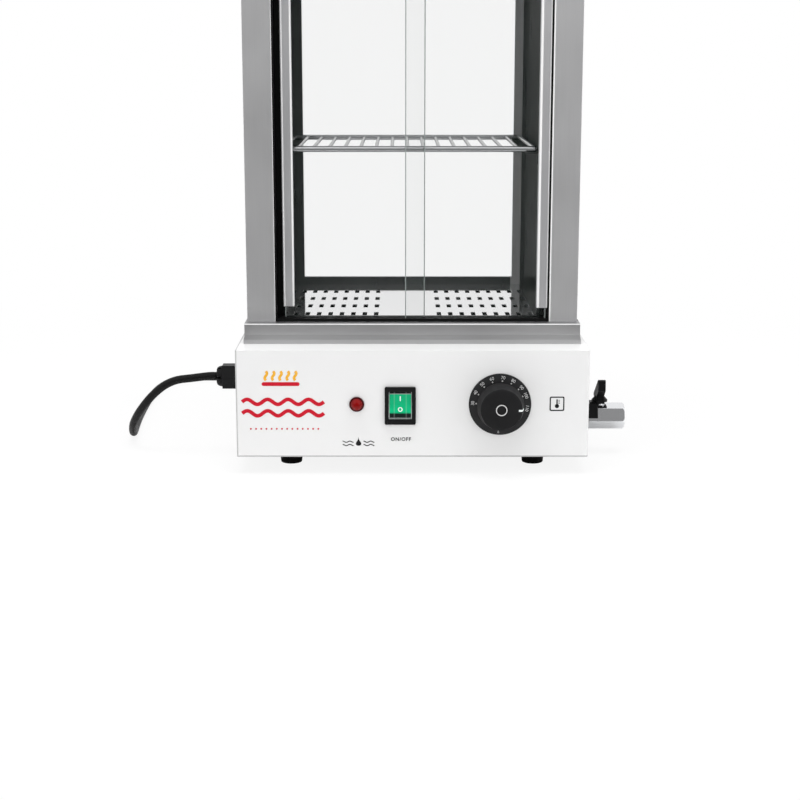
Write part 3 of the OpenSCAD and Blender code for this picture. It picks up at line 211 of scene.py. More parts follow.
STEPS = 3
lead_bench = np.vstack([curve_through(LEAD_POINTS, STEPS), coil_points(24),
                        curve_through(TAIL_POINTS, STEPS)])
lead_path = lead_bench * MM + BENCH
mains_lead = tube_mesh("mains_lead", lead_path, CORD_D * MM)
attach(mains_lead, "cabinet")
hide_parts("mains_cord", "cord_coil", "cord_tail")


# %% [markdown]
# ## Finishes
# Every finish is a small node tree on Object coordinates, so a pattern stays on its piece when a
# door slides. One helper starts each of them: it makes a Principled shader, sets its plain
# numbers on the sockets themselves, and hands back the tree for what varies. Colours are written
# as they look on a screen and turned into linear light by one formula.

# %% Material helpers
def linear(*rgb):
    """Screen colour 0-255 as linear light: ((c + 0.055) / 1.055) ^ 2.4, or c / 12.92 near black."""
    c = np.array(rgb, float) / 255
    value = np.where(c > 0.04045, ((c + 0.055) / 1.055) ** 2.4, c / 12.92)
    return tuple(float(v) for v in value) + (1.0,)


class Finish:
    """A material with one Principled shader, and short ways to add what varies over it."""

    def __init__(self, name, color, **sockets):
        self.material = bpy.data.materials.new(name)
        self.material.use_nodes = True
        self.tree = self.material.node_tree
        self.shader = self.tree.nodes["Principled BSDF"]
        self.shader.inputs["Base Color"].default_value = color
        self.color = color
        for socket, value in sockets.items():
            self.shader.inputs[socket.replace("_", " ")].default_value = value

    def node(self, kind, **settings):
        """A new node; settings that name an input set it, and the others set the node."""
        made = self.tree.nodes.new(kind)
        for key, value in settings.items():
            title = key.replace("_", " ")
            if title in made.inputs:
                made.inputs[title].default_value = value
            else:
                setattr(made, key, value)
        return made

    def link(self, source, target):
        self.tree.links.new(source, target)

    def coordinates(self, stretch=(1, 1, 1)):
        """Object coordinates, stretched by a Mapping node."""
        where = self.node("ShaderNodeTexCoord")
        mapping = self.node("ShaderNodeMapping", Scale=stretch)
        self.link(where.outputs["Object"], mapping.inputs["Vector"])
        return mapping.outputs["Vector"]

    def noise(self, size_mm, stretch=(1, 1, 1), detail=3.0, roughness=0.5):
        """Noise whose patches are about size_mm wide."""
        made = self.node("ShaderNodeTexNoise", Scale=1000.0 / size_mm, Detail=detail,
                         Roughness=roughness)
        self.link(self.coordinates(stretch), made.inputs["Vector"])
        return made.outputs["Fac"]

    def spread(self, value, low, high, from_low=0.3, from_high=0.7):
        """value moved from one range to another."""
        made = self.node("ShaderNodeMapRange")
        for socket, number in zip(("From Min", "From Max", "To Min", "To Max"),
                                  (from_low, from_high, low, high)):
            made.inputs[socket].default_value = number
        self.link(value, made.inputs["Value"])
        return made.outputs["Result"]

    def position(self):
        """The x, y and z of the Object coordinates, as outputs of one node."""
        where = self.node("ShaderNodeSeparateXYZ")
        self.link(self.node("ShaderNodeTexCoord").outputs["Object"], where.inputs[0])
        return where.outputs

    def mixed(self, under, over, share, blend_type="MIX"):
        """Two colours mixed; each value is an output of a node or a plain one."""
        made = self.node("ShaderNodeMix", data_type="RGBA", blend_type=blend_type)
        for title, value in (("A", under), ("B", over), ("Factor", share)):
            if isinstance(value, bpy.types.NodeSocket):
                self.link(value, made.inputs[title])
            else:
                made.inputs[title].default_value = value
        return made.outputs["Result"]

    def cover(self, share, color):
        """Another base colour laid over the one so far, where share is 1."""
        base = self.shader.inputs["Base Color"]
        under = base.links[0].from_socket if base.is_linked else self.color
        self.link(self.mixed(under, color, share), base)

    def vary_roughness(self, value, low, high):
        self.link(self.spread(value, low, high), self.shader.inputs["Roughness"])

    def vary_color(self, value, low, high):
        """The base colour times a number from low to high."""
        darker = [c * low for c in self.color[:3]] + [1]
        lighter = [min(1, c * high) for c in self.color[:3]] + [1]
        self.link(self.mixed(darker, lighter, self.spread(value, 0, 1)),
                  self.shader.inputs["Base Color"])

    def bump(self, value, height_mm, edge_mm=0.0):
        """Surface relief from value, with edges softened by a Bevel node when edge_mm is set."""
        relief = self.node("ShaderNodeBump", Strength=1.0, Distance=height_mm * MM)
        self.link(value, relief.inputs["Height"])
        if edge_mm:
            soft = self.node("ShaderNodeBevel", Radius=edge_mm * MM, samples=4)
            self.link(soft.outputs["Normal"], relief.inputs["Normal"])
        self.link(relief.outputs["Normal"], self.shader.inputs["Normal"])

# %% [markdown]
# ### Bands by position
# Some finishes change at a line: a painted highlight on an edge, a clear rim, painted shade inside.
# The line could be cut into the mesh, but the CAD meshes stay as they are, so it is drawn by
# position instead. A colour ramp without blending turns one coordinate, in millimetres, into bands.

# %% Bands by position
OFF, ON = (0, 0, 0, 1), (1, 1, 1, 1)


def zones(finish, value, steps):
    """Colours from a length: steps are pairs of a position in millimetres and a colour, and each
    colour runs to the next position. The ramp is filled over the span of the steps."""
    low, high = steps[0][0], steps[-1][0]
    span = finish.spread(value, 0, 1, low * MM, high * MM)
    ramp = finish.node("ShaderNodeValToRGB")
    ramp.color_ramp.interpolation = "CONSTANT"
    stops = ramp.color_ramp.elements
    stops.remove(stops[1])
    for number, (position, color) in enumerate(steps):
        place = (position - low) / (high - low)
        stop = stops[0] if number == 0 else stops.new(place)
        stop.position, stop.color = place, color
    finish.link(span, ramp.inputs["Fac"])
    return ramp.outputs["Color"]


def within(finish, value, bands, inside=ON):
    """The colour inside in every band, a pair of positions in millimetres, and black elsewhere."""
    bands = sorted(bands)
    steps = [(bands[0][0] - 1, OFF)]
    for start, end in bands:
        steps += [(start, inside), (end, OFF)]
    return zones(finish, value, steps + [(bands[-1][1] + 1, OFF)])


def edge_lines(finish, axis, bands, level=0.9):
    """Grey bands along an axis that don't mirror, used for painted highlights and painted shade
    lines; each is a pair of frame millimetres.
    """
    share = within(finish, finish.position()[axis], bands)
    finish.cover(share, (level, level, level, 1))
    if finish.shader.inputs["Metallic"].default_value:
        finish.link(finish.spread(share, 1, 0, 0, 1), finish.shader.inputs["Metallic"])


def dark_inside(finish, low, high, color):
    """Another base colour where x and y lie between two frame positions in millimetres."""
    position = finish.position()
    both = finish.node("ShaderNodeMath", operation="MULTIPLY")
    for number, axis in enumerate("XY"):
        share = within(finish, position[axis], [(low[number], high[number])])
        finish.link(share, both.inputs[number])
    finish.cover(both.outputs[0], color)


# %% [markdown]
# ### Dressing the pieces
# A CAD node comes without a finish. Taking its old material slots away and adding one is all that
# it needs, and the same few lines serve the new pieces.

# %% Dressing
def dress(finish, *names):
    """Puts a finish on CAD nodes and new pieces alike."""
    for name in names:
        thing = nodes.get(name) or bpy.data.objects[name]
        thing.data.materials.clear()
        thing.data.materials.append(finish.material)


# %% [markdown]
# ### White paint
# The base is sheet steel with a baked powder coat. Powder melts into a film with very shallow
# waves, which painters call orange peel, so the gloss is satin and its highlight wobbles. Two
# sizes of noise make it: a wide one for the waves and a fine one for the grain. Grey lines of
# painted shade lie on the rounded edges at both sides and at the foot, where they turn from the
# light.

# %% White paint
paint = Finish("powder_coat", linear(236, 236, 236), Roughness=0.36, Coat_Weight=0.15,
               Coat_Roughness=0.2)
paint.bump(paint.noise(2.2, detail=2), 0.012, edge_mm=1.0)
paint.vary_roughness(paint.noise(26), 0.33, 0.40)
# Painted shade: grey lines on the rounded side edges and along the foot of the base.
EDGE_SHADE_LEFT_MM, EDGE_SHADE_RIGHT_MM, EDGE_SHADE_FOOT_MM, EDGE_SHADE_LEVEL = 0.5, 0.9, 1.1, 0.5
low, high = (np.array(corner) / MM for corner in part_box("base_housing"))
edge_lines(paint, "X", [(low[0], low[0] + EDGE_SHADE_LEFT_MM), (high[0] - EDGE_SHADE_RIGHT_MM, high[0])],
           EDGE_SHADE_LEVEL)
edge_lines(paint, "Z", [(low[2], low[2] + EDGE_SHADE_FOOT_MM)], EDGE_SHADE_LEVEL)
dress(paint, "base_housing")
print("painted front:", (high - low)[[0, 2]].round(1), "mm")

# %% [markdown]
# ### Brushed steel
# The cabinet is stainless sheet, brushed along its length on the rolls of the mill. The grain is
# noise stretched many times along one axis: it changes the roughness and the colour a little and
# cuts very shallow lines. The Anisotropic socket would draw the highlight out too, but it needs a
# tangent at every point, and the lines do the same here.


# %% Brushed steel
def brushed(name, color, roughness, along, grain=0.05, contrast=0.04, edge_mm=0.7, rim=0.6):
    """Brushed metal; along is the axis that the grain follows, 0 for x, 1 for y, 2 for z, and rim
    is how much of the bright reflection at a grazing view is left."""
    stretch = [1.0, 1.0, 1.0]
    stretch[along] = 0.012
    finish = Finish(name, color, Metallic=1.0, Specular_Tint=(rim, rim, rim, 1))
    lines = finish.noise(0.55, stretch, detail=5, roughness=0.65)
    clouds = finish.noise(60, detail=2)
    both = finish.node("ShaderNodeMath", operation="ADD")
    finish.link(lines, both.inputs[0])
    finish.link(clouds, both.inputs[1])
    half = finish.node("ShaderNodeMath", operation="MULTIPLY")
    half.inputs[1].default_value = 0.5
    finish.link(both.outputs[0], half.inputs[0])
    finish.vary_color(half.outputs[0], 1 - contrast, 1 + contrast)
    finish.vary_roughness(half.outputs[0], roughness - grain, roughness + grain)
    finish.bump(lines, 0.004, edge_mm)
    return finish


# %% [markdown]
# ### The cabinet's sheets
# Upright sheets have upright grain, and sheets inside the cabinet and the tank are painted darker
# as shade, so the recipe makes a finish for each kind. Folded edges carry painted highlights, one
# stile of the rear wall has a painted highlight, and under the steam plate the collar is painted
# dark as shade, where it is unlit. Those are bands by position, and the pieces' own boxes say where
# they lie.

# %% The cabinet's sheets
HANDLE_HIGHLIGHT_MM, FOLD_HIGHLIGHT_MM, FOLD_HIGHLIGHT_WRAP_MM, TOP_CLEAR_MM = 1.5, 0.9, 1.0, 0.02
POST_INNER_X = (-114.8, 114.5)
STILE_X, STILE_HIGHLIGHT_LEVEL = (96.0, 106.0), 0.52
COLLAR_SHEET_MM, COLLAR_FRONT_MM = 1.6, 16.0
STEEL, INNER_SHADE, UNLIT = linear(228, 228, 229), linear(94, 94, 95), linear(24, 24, 25)
steel_flat = brushed("brushed_steel_collar", linear(190, 190, 191), 0.42, 0)
steel_level = brushed("brushed_steel_level", STEEL, 0.42, 0)
steel_upright = brushed("brushed_steel_upright", STEEL, 0.46, 2)
steel_post = brushed("brushed_steel_posts", STEEL, 0.46, 2)
# Painted shade: the sheets inside the cabinet are a darker copy of the steel.
steel_inner = brushed("inner_steel", INNER_SHADE, 0.30, 2, rim=0.02)
steel_rear = brushed("rear_wall_steel", INNER_SHADE, 0.30, 2, rim=0.02)
# Painted shade: the tank is near black, for the shade inside it under the slotted plate.
shaded_tank_steel = brushed("tank_steel", linear(22, 22, 24), 0.6, 2, rim=0.02)
steel_handle = brushed("handle_steel", linear(238, 238, 240), 0.42, 2)
steel_plain = brushed("plain_steel", linear(150, 150, 150), 0.45, 0)
# Painted highlights: bright grey bands along both edges of each handle.
handle_highlights = []
for name in ("left_door_handle", "right_door_handle"):
    left_x, right_x = (corner[0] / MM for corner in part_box(name))
    handle_highlights += [(left_x, left_x + HANDLE_HIGHLIGHT_MM), (right_x - HANDLE_HIGHLIGHT_MM, right_x)]
edge_lines(steel_handle, "X", handle_highlights)
# Painted highlight: a bright line along the collar's top fold.
collar_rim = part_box("collar_frame")[1][2] / MM
edge_lines(steel_flat, "Z", [(collar_rim - FOLD_HIGHLIGHT_MM, collar_rim - TOP_CLEAR_MM)])
# Painted highlights: bright lines along the inner edges of the posts.
left_x, right_x = (x + BENCH[0] / MM for x in POST_INNER_X)
edge_lines(steel_post, "X", [(left_x - FOLD_HIGHLIGHT_MM, left_x + FOLD_HIGHLIGHT_WRAP_MM),
                               (right_x - FOLD_HIGHLIGHT_WRAP_MM, right_x + FOLD_HIGHLIGHT_MM)])
# Painted highlight: a paler band on the right stile of the rear wall.
edge_lines(steel_rear, "X", [[x + BENCH[0] / MM for x in STILE_X]], STILE_HIGHLIGHT_LEVEL)
low, high = (np.array(corner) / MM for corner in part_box("collar_frame"))
dark_inside(steel_flat, low + (COLLAR_SHEET_MM, COLLAR_FRONT_MM, 0),
            high - (COLLAR_SHEET_MM, COLLAR_SHEET_MM, 0), UNLIT)
dress(steel_flat, "collar_frame")
dress(steel_level, "roof_cover")
dress(steel_post, "left_side_panel", "right_side_panel")
dress(steel_upright, "rear_cover")
dress(steel_inner, "left_chamber_wall", "right_chamber_wall", "shelf_rails")
dress(steel_rear, "rear_panel")
dress(steel_handle, "left_door_handle", "right_door_handle")
dress(steel_plain, "bottom_plate", "thermostat_body", "thermostat_shaft")
print("collar's rim", round(float(collar_rim), 1), "mm up, handle edges", len(handle_highlights))

# %% [markdown]
# ### Polished steel, chrome and brass
# The steam plate is bright-annealed steel: it mirrors the window behind it, with a faint blur
# from the rolls. Plated fittings are the same recipe with less grain and another colour.

# %% Bright metals
MIRROR_METAL = 0.88
mirror = brushed("mirror_steel", linear(236, 236, 237), 0.05, 0, grain=0.02, contrast=0.02,
                 edge_mm=0.3, rim=1)
chrome = brushed("satin_chrome", linear(240, 241, 243), 0.11, 0, grain=0.04, contrast=0.03,
                 edge_mm=0.5)
wire = brushed("bright_wire", linear(210, 211, 213), 0.16, 1, grain=0.03, contrast=0.03,
               edge_mm=0.0)
zinc = brushed("zinc_screws", linear(186, 188, 192), 0.34, 0, grain=0.06, contrast=0.08,
               edge_mm=0.2)
brass = brushed("brass_fittings", linear(196, 160, 88), 0.34, 0, contrast=0.06, edge_mm=0.4)
copper = brushed("copper_probe", linear(188, 122, 88), 0.36, 1, contrast=0.08, edge_mm=0.2)
scaled = brushed("heater_metal", linear(96, 90, 86), 0.5, 1, grain=0.1, contrast=0.2,
                 edge_mm=0.0)
mirror.shader.inputs["Metallic"].default_value = MIRROR_METAL
dress(mirror, "steam_plate")
dress(shaded_tank_steel, "water_tank")
dress(chrome, "valve_body", "valve_ball", "valve_stem", "plug_pins")
dress(wire, "bun_shelf")
dress(zinc, "foot_screws", "bottom_screws", "thermostat_screws", "cabinet_screws")
dress(brass, "heater_nuts", "drain_pipe", "drain_nuts")
dress(copper, "thermostat_probe")
dress(scaled, "heating_element")
plate_low, plate_high = (np.array(corner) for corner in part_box("steam_plate"))
print("mirror plate:", ((plate_high - plate_low) / MM)[:2].round(1), "mm")


# %% [markdown]
# ### Plastics and rubber
# Moulded plastic copies the spark-eroded texture of its mould, a fine even grain. Rubber is
# duller and a little uneven. Both are a colour, a roughness and a few sizes of noise.

# %% Plastics and rubber
def moulded(name, color, roughness, grain_mm=0.35, relief_mm=0.006, edge_mm=0.4, **sockets):
    """Moulded plastic or rubber with an even grain."""
    finish = Finish(name, color, **sockets)
    finish.vary_roughness(finish.noise(5), roughness - 0.05, roughness + 0.05)
    finish.vary_color(finish.noise(9), 0.92, 1.08)
    finish.bump(finish.noise(grain_mm, detail=2), relief_mm, edge_mm)
    return finish


DULL = {"Specular_IOR_Level": 0.15}
black_satin = moulded("black_plastic", linear(14, 14, 15), 0.42, **DULL)
black_gloss = moulded("switch_plastic", linear(12, 12, 13), 0.16, relief_mm=0.002)
knob_black = moulded("knob_plastic", linear(34, 34, 35), 0.5, Specular_IOR_Level=0.06)
scale_black = moulded("scale_plastic", linear(46, 46, 47), 0.5, **DULL)
ivory = moulded("ivory_plastic", linear(226, 220, 200), 0.4)
rubber = moulded("black_rubber", linear(12, 12, 12), 0.62, grain_mm=0.8, relief_mm=0.01,
                 **DULL)
sheath = moulded("cord_sheath", linear(18, 18, 18), 0.46, grain_mm=1.6, relief_mm=0.02,
                 edge_mm=0.0, **DULL)
dress(black_satin, "valve_lever", "lever_stop", "gland_body", "gland_nut",
      "gland_locknut", "bottom_door_track", "top_door_track", "left_door_jamb",
      "right_door_jamb", "coil_tie", "dry_run_cutout", "lamp_body")
dress(black_gloss, "switch_housing")
dress(knob_black, "dial_knob")
dress(scale_black, "dial_scale")
dress(ivory, "terminal_block")
dress(rubber, "rubber_feet", "rear_glass_seal", "plug_body")
dress(sheath, "mains_lead", "inner_lead")
print("finishes so far:", len(bpy.data.materials))

# %% [markdown]
# ### Glass and the lamp's lens
# The doors are clear float glass with a trace of green. A pane bends a ray on its way in and back
# again on its way out, so a thin pane shifts nothing: it is almost wholly transparent here, and
# what is left of it is a faint tint and gloss. The lamp's lens is tinted plastic whose rim is
# darker than its middle, so its colour goes by the distance from the lamp's axis.

# %% Glass and lens
glass = Finish("clear_glass", linear(120, 134, 129), Roughness=0.02, IOR=1.5, Alpha=0.03)
glass.bump(glass.noise(180, detail=1), 0.02)
dress(glass, "left_door_glass", "right_door_glass", "rear_glass")
ground_edge = Finish("ground_glass_edge", linear(150, 158, 156), Roughness=0.45, Alpha=0.75)
ground_edge.vary_color(ground_edge.noise(3, stretch=(1, 1, 0.1)), 0.9, 1.1)

LAMP_AT, LENS_R = (-45.7, 0, 59), 6.15
red = Finish("red_lens", linear(140, 6, 8), Roughness=0.12, Specular_IOR_Level=0.2)
lamp_centre = at(LAMP_AT)[0]
from_axis = red.node("ShaderNodeMapping", Location=(-lamp_centre[0], 0, -lamp_centre[2]),
                     Scale=(1, 0, 1))
red.link(red.node("ShaderNodeTexCoord").outputs["Object"], from_axis.inputs["Vector"])
distance = red.node("ShaderNodeVectorMath", operation="LENGTH")
red.link(from_axis.outputs["Vector"], distance.inputs[0])
rings = zones(red, distance.outputs["Value"],
              [(0, linear(128, 3, 3)), (4.2, linear(110, 3, 5)), (4.9, linear(70, 4, 8)),
               (LENS_R, linear(60, 4, 8))])
red.link(rings, red.shader.inputs["Base Color"])
red.bump(red.noise(2.0, detail=1), 0.03, edge_mm=0.3)
dress(red, "lamp_lens")
print("lens centre in the frame:", lamp_centre.round(4))

# %% [markdown]
# ## Printed marks
# Numbers, signs and stripes on the real object are films of ink a tenth of a millimetre thick.
# They could be drawn in the paint's material, but then they would blur from near. Here each one
# is a flat outline, given the thickness of the ink. The outlines come first: rings of points, each
# from a formula.


# %% Outlines
def circle(radius, centre=(0, 0), sides=40):
    """Points at centre + radius * (cos a, sin a)."""
    a = np.linspace(0, 2 * np.pi, sides, endpoint=False)
    return np.stack([np.cos(a), np.sin(a)], 1) * radius + centre


def bar(width, height, radius, centre=(0, 0), steps=6):
    """A rectangle with round corners: four quarter circles, each moved to its own corner."""
    a = np.linspace(0, 2 * np.pi, 4 * steps, endpoint=False) + np.pi / (4 * steps)
    move = np.sign(np.stack([np.cos(a), np.sin(a)], 1)) * (width / 2 - radius, height / 2 - radius)
    turn = np.floor(a / (np.pi / 2)) * np.pi / 2 + np.tile(np.linspace(0, np.pi / 2, steps), 4)
    return np.stack([np.cos(turn), np.sin(turn)], 1) * radius + move + centre


def ribbon(path, width):
    """The outline of a line of some width: path + and - width / 2 along its normal."""
    path = np.asarray(path, float)
    heading = np.gradient(path, axis=0)
    heading /= np.linalg.norm(heading, axis=1, keepdims=True)
    normal = np.stack([-heading[:, 1], heading[:, 0]], 1) * width / 2
    return np.vstack([path + normal, (path - normal)[::-1]])


def wave(length, height, periods, upright=False, steps=20):
    """Points at (t, height / 2 * sin(2 pi periods t / length)), or with the axes swapped."""
    t = np.linspace(-length / 2, length / 2, round(steps * periods) + 1)
    line = np.stack([t, height / 2 * np.sin(2 * np.pi * periods * t / length)], 1)
    return line[:, ::-1] if upright else line


# %% [markdown]
# ### Filling and laying
# A flat curve object fills outlines with their holes and sets words, so each outline goes through
# one on its way to a mesh. The mesh is then laid in its place by a change of axes, where a flat
# point (u, v) goes to origin + u * right + v * up, so no object has to be turned.

# %% Filling and laying
INK_MM = 0.12


def filled(curve):
    """Points and faces of a filled flat curve or word, from w = 0 up to the ink's thickness."""
    curve.extrude = INK_MM / 2
    mesh = bpy.data.meshes.new_from_object(bpy.data.objects.new("flat", curve))
    work = bmesh.new()
    work.from_mesh(mesh)
    bmesh.ops.remove_doubles(work, verts=work.verts, dist=1e-4)
    bmesh.ops.recalc_face_normals(work, faces=work.faces)
    points = np.array([v.co for v in work.verts]) + (0, 0, INK_MM / 2)
    faces = [[v.index for v in f.verts] for f in work.faces]
    work.free()
    bpy.data.curves.remove(curve)
    bpy.data.meshes.remove(mesh)
    return points, faces


def shape(*outlines):
    """A filled shape; an outline inside another makes a hole."""
    curve = bpy.data.curves.new("outline", "CURVE")
    curve.dimensions, curve.fill_mode = "2D", "BOTH"
    for outline in outlines:
        spline = curve.splines.new("POLY")
        spline.points.add(len(outline) - 1)
        flat = np.pad(np.asarray(outline, float), ((0, 0), (0, 2)))
        flat[:, 3] = 1
        spline.points.foreach_set("co", flat.ravel().astype(np.float32))
        spline.use_cyclic_u = True
    return filled(curve)


def word(words, height, bold=0.0, spacing=1.0):
    """A word set to a height, with its middle at (0, 0); bold makes its strokes wider."""
    curve = bpy.data.curves.new("word", "FONT")
    curve.body = words
    curve.offset = bold
    curve.space_character = spacing
    points, faces = filled(curve)
    low, high = points.min(0), points.max(0)
    size = height / (high[1] - low[1])
    return (points - (low + high) / 2) * (size, size, 1) + (0, 0, INK_MM / 2), faces


def laid(flat, origin, right=(1, 0, 0), up=(0, 0, 1)):
    """Flat points (u, v, w) as bench points: origin + u * right + v * up + w * out, where
    out = right x up."""
    points, faces = flat
    right, up = (np.asarray(a, float) / np.linalg.norm(a) for a in (right, up))
    axes = np.stack([right, up, np.cross(right, up)])
    return np.asarray(origin, float) + points @ axes, faces


def marks(name, finish, body, flats):
    """One piece from several laid shapes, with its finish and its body."""
    counts = np.cumsum([0] + [len(points) for points, _ in flats])
    points = np.vstack([points for points, _ in flats]) * MM + BENCH
    faces = [[corner + first for corner in face]
             for first, (_, flat_faces) in zip(counts, flats) for face in flat_faces]
    made = new_object(name, points, faces, smooth=False)
    dress(finish, name)
    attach(made, body)
    return made


# %% [markdown]
# ### Inks
# Screen-print ink is matt and covers unevenly: a little noise in its colour stands for that.

# %% Inks
def ink(name, color):
    finish = Finish(name, color, Roughness=0.5, Specular_IOR_Level=0.15)
    finish.vary_color(finish.noise(1.5, detail=2), 0.9, 1.1)
    return finish


red_ink = ink("red_ink", linear(200, 22, 44))
amber_ink = ink("amber_ink", linear(238, 178, 60))
dark_ink = ink("dark_ink", linear(30, 30, 32))
pale_ink = ink("pale_ink", linear(214, 214, 214))
white_ink = ink("white_ink", linear(240, 246, 244))
print("inks:", sum(material.name.endswith("_ink") for material in bpy.data.materials))

# %% [markdown]
# ### Decoration
# The front carries a bright decoration on the left, a plain design of waves like steam and water.
# Each wave is a sine line with a width, so its height and its count are all that it needs. Inks
# of one colour are one piece.

# %% Decoration
FRONT = 0


def on_front(flat, x, z):
    """A flat shape on the base's front face."""
    return laid(flat, (x, FRONT, z))


STRIPES_AT, STRIPES_W, STRIPE_H, STRIPE_RISE = (-106.2, 56.1), 67.2, 3.1, 4.8
WAVE_H, WAVE_COUNT = 4.2, 4
STEAM_AT, STEAM_W, STEAM_STEP = (-107.9, 80.4), 31.1, 6
PAN_H, PAN_DROP, STEAM_RISE = 3.2, 4.6, 2.3
PUFF_L, PUFF_SWAY, PUFF_W = 7.6, 1.9, 2.2
DOTS_AT, DOTS_W, DOT_COUNT, DOT_MARK_R = (-105.2, 38.2), 55.5, 14, 0.75
stripe = shape(ribbon(wave(STRIPES_W, WAVE_H, WAVE_COUNT), STRIPE_H))
stripes = [on_front(stripe, STRIPES_AT[0], STRIPES_AT[1] + side * STRIPE_RISE)
           for side in (1, -1)]
dots = [on_front(shape(circle(DOT_MARK_R, sides=16)), DOTS_AT[0] + u, DOTS_AT[1])
        for u in np.linspace(-0.5, 0.5, DOT_COUNT) * DOTS_W]
pan = [on_front(shape(bar(STEAM_W, PAN_H, PAN_H / 2 - 0.01)), STEAM_AT[0], STEAM_AT[1] - PAN_DROP)]
puff = shape(ribbon(wave(PUFF_L, PUFF_SWAY, 1, upright=True), PUFF_W))
steam = [on_front(puff, STEAM_AT[0] + step * STEAM_STEP, STEAM_AT[1] + STEAM_RISE)
         for step in (-2, -1, 0, 1, 2)]
marks("red_decoration", red_ink, "cabinet", stripes + dots + pan)
marks("amber_decoration", amber_ink, "cabinet", steam)
print("decoration:", len(stripes + dots + pan), "red shapes and", len(steam), "amber ones")

# %% [markdown]
# ### Signs
# Three small dark signs say what the controls do: a water drop under the lamp, ON/OFF under the
# switch and a thermometer beside the dial. A drop is a circle whose top is drawn out to a point.

# %% Signs
DROP_AT, DROP_R, DROP_H = (-44.4, 26.2), 2.3, 7.6
LEVEL_SIDE, LEVEL_HEIGHTS, LEVEL_L, LEVEL_H, LEVEL_W = 8.6, (1.1, -1.7), 9, 1.1, 0.75
turn = np.linspace(-np.pi, np.pi, 33)[:-1]
drop = np.stack([DROP_R * np.sin(turn) * np.cos(turn / 2) ** 0.9 * 1.25,
                 -DROP_R * np.cos(turn) + (DROP_H - 2 * DROP_R) * np.abs(turn / np.pi) ** 6], 1)
ripple = shape(ribbon(wave(LEVEL_L, LEVEL_H, 1.5), LEVEL_W))
level = [on_front(ripple, DROP_AT[0] + side * LEVEL_SIDE, DROP_AT[1] + v)
         for side in (-1, 1) for v in LEVEL_HEIGHTS]
water_sign = [on_front(shape(drop), *DROP_AT)] + level

SWITCH_WORD_AT, SWITCH_WORD_H = (-9.4, 29.5), 3.1
switch_sign = [on_front(word("ON/OFF", SWITCH_WORD_H, bold=0.025, spacing=1.15), *SWITCH_WORD_AT)]

HEAT_SIGN_AT, SIGN_SIDE, SIGN_LINE = (118.6, 59.3), 12.1, 1.0
hole_side = SIGN_SIDE - 2 * SIGN_LINE
square = shape(bar(SIGN_SIDE, SIGN_SIDE, 1.3), bar(hole_side, hole_side, 0.7))
bulb = shape(circle(1.75, (0, -1.9), 24))
stem = shape(bar(1.1, 5.6, 0.5, (0, 1.0)))
degrees = [shape(bar(1.2, 0.5, 0.2, (1.7, v))) for v in (0.4, 1.7, 3.0)]
heat_sign = [on_front(flat, *HEAT_SIGN_AT) for flat in (square, bulb, stem, *degrees)]
signs = marks("signs", dark_ink, "cabinet", water_sign + switch_sign + heat_sign)
print("signs:", len(signs.data.vertices), "points")

# %% [markdown]
# ### Recesses of the screws
# The screws of the roof and of the rear cover have a cross recess. From outside it is only a dark
# cross in the middle of each head, so a thin dark cross of painted shade, in the dark ink, lies on
# every head that can be seen.

# %% Recesses of the screws
HEAD_MM, CROSS_L, CROSS_W = 2.0, 3.3, 0.75
SIDE_HEAD_X, SIDE_HEAD_Y, SIDE_HEAD_DROP = 139.0 + HEAD_MM, (78.0, 229.0), 11.0
REAR_HEAD_X, REAR_HEAD_Y, REAR_HEAD_Z = 127.0, 265.0 + HEAD_MM, (140.5, 280.25)


def cross():
    """A cross outline: three corners of one arm, turned through four quarters."""
    half_l, half_w = CROSS_L / 2, CROSS_W / 2
    arm = np.array([(half_w, half_w), (half_w, half_l), (-half_w, half_l)])
    quarter = np.array([(0, 1), (-1, 0)])
    return np.vstack([arm @ np.linalg.matrix_power(quarter, k) for k in range(4)])


roof_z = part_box("roof_cover")[1][2] / MM
recesses = [laid(shape(cross()), (side * SIDE_HEAD_X, y, roof_z - SIDE_HEAD_DROP), (0, side, 0))
            for side in (-1, 1) for y in SIDE_HEAD_Y]
recesses += [laid(shape(cross()), (side * REAR_HEAD_X, REAR_HEAD_Y, z), (-1, 0, 0))
             for side in (-1, 1) for z in REAR_HEAD_Z]
marks("screw_recesses", dark_ink, "cabinet", recesses)
print("recesses:", len(recesses))

# %% [markdown]
# ### The dial's numbers
# The numbers stand on the fixed ring with their feet towards the knob, each beside a dot. Their
# angles aren't even: a thermostat's bulb swells less and less per degree, and the maker prints
# where the temperatures truly are. A text on a curve would spread them evenly, so each is set by
# its own angle.

# %% The dial's numbers
DIAL_AT = (71.8, -1.2, 59)
DIAL_MARKS = {"30": 177, "40": 154, "50": 131, "60": 108, "70": 84, "80": 61.5, "90": 39,
              "100": 19, "110": -9}
NUMBER_R, NUMBER_H, DOT_R, DOT_MM = 22.5, 2.6, 19.6, 1.2
ZERO_DEG, ZERO_R, ZERO_H = -93, 23.2, 1.8


def heading_of(degrees):
    """(cos a, sin a)."""
    return math.cos(math.radians(degrees)), math.sin(math.radians(degrees))


def on_dial(flat, radius, degrees):
    """A flat shape on the ring, its up pointing away from the middle:
    up = (cos a, sin a), right = (sin a, -cos a)."""
    x, z = heading_of(degrees)
    return laid(flat, (DIAL_AT[0] + radius * x, DIAL_AT[1], DIAL_AT[2] + radius * z),
                (z, 0, -x), (x, 0, z))


numbers = [on_dial(word(text, NUMBER_H), NUMBER_R, a) for text, a in DIAL_MARKS.items()]
dot = shape(circle(DOT_MM / 2, sides=12))
numbers += [on_dial(dot, DOT_R, a + 1) for a in DIAL_MARKS.values()]
numbers += [on_dial(word("0", ZERO_H), ZERO_R, ZERO_DEG)]
marks("dial_numbers", pale_ink, "cabinet", numbers)
print("dial marks:", len(numbers))

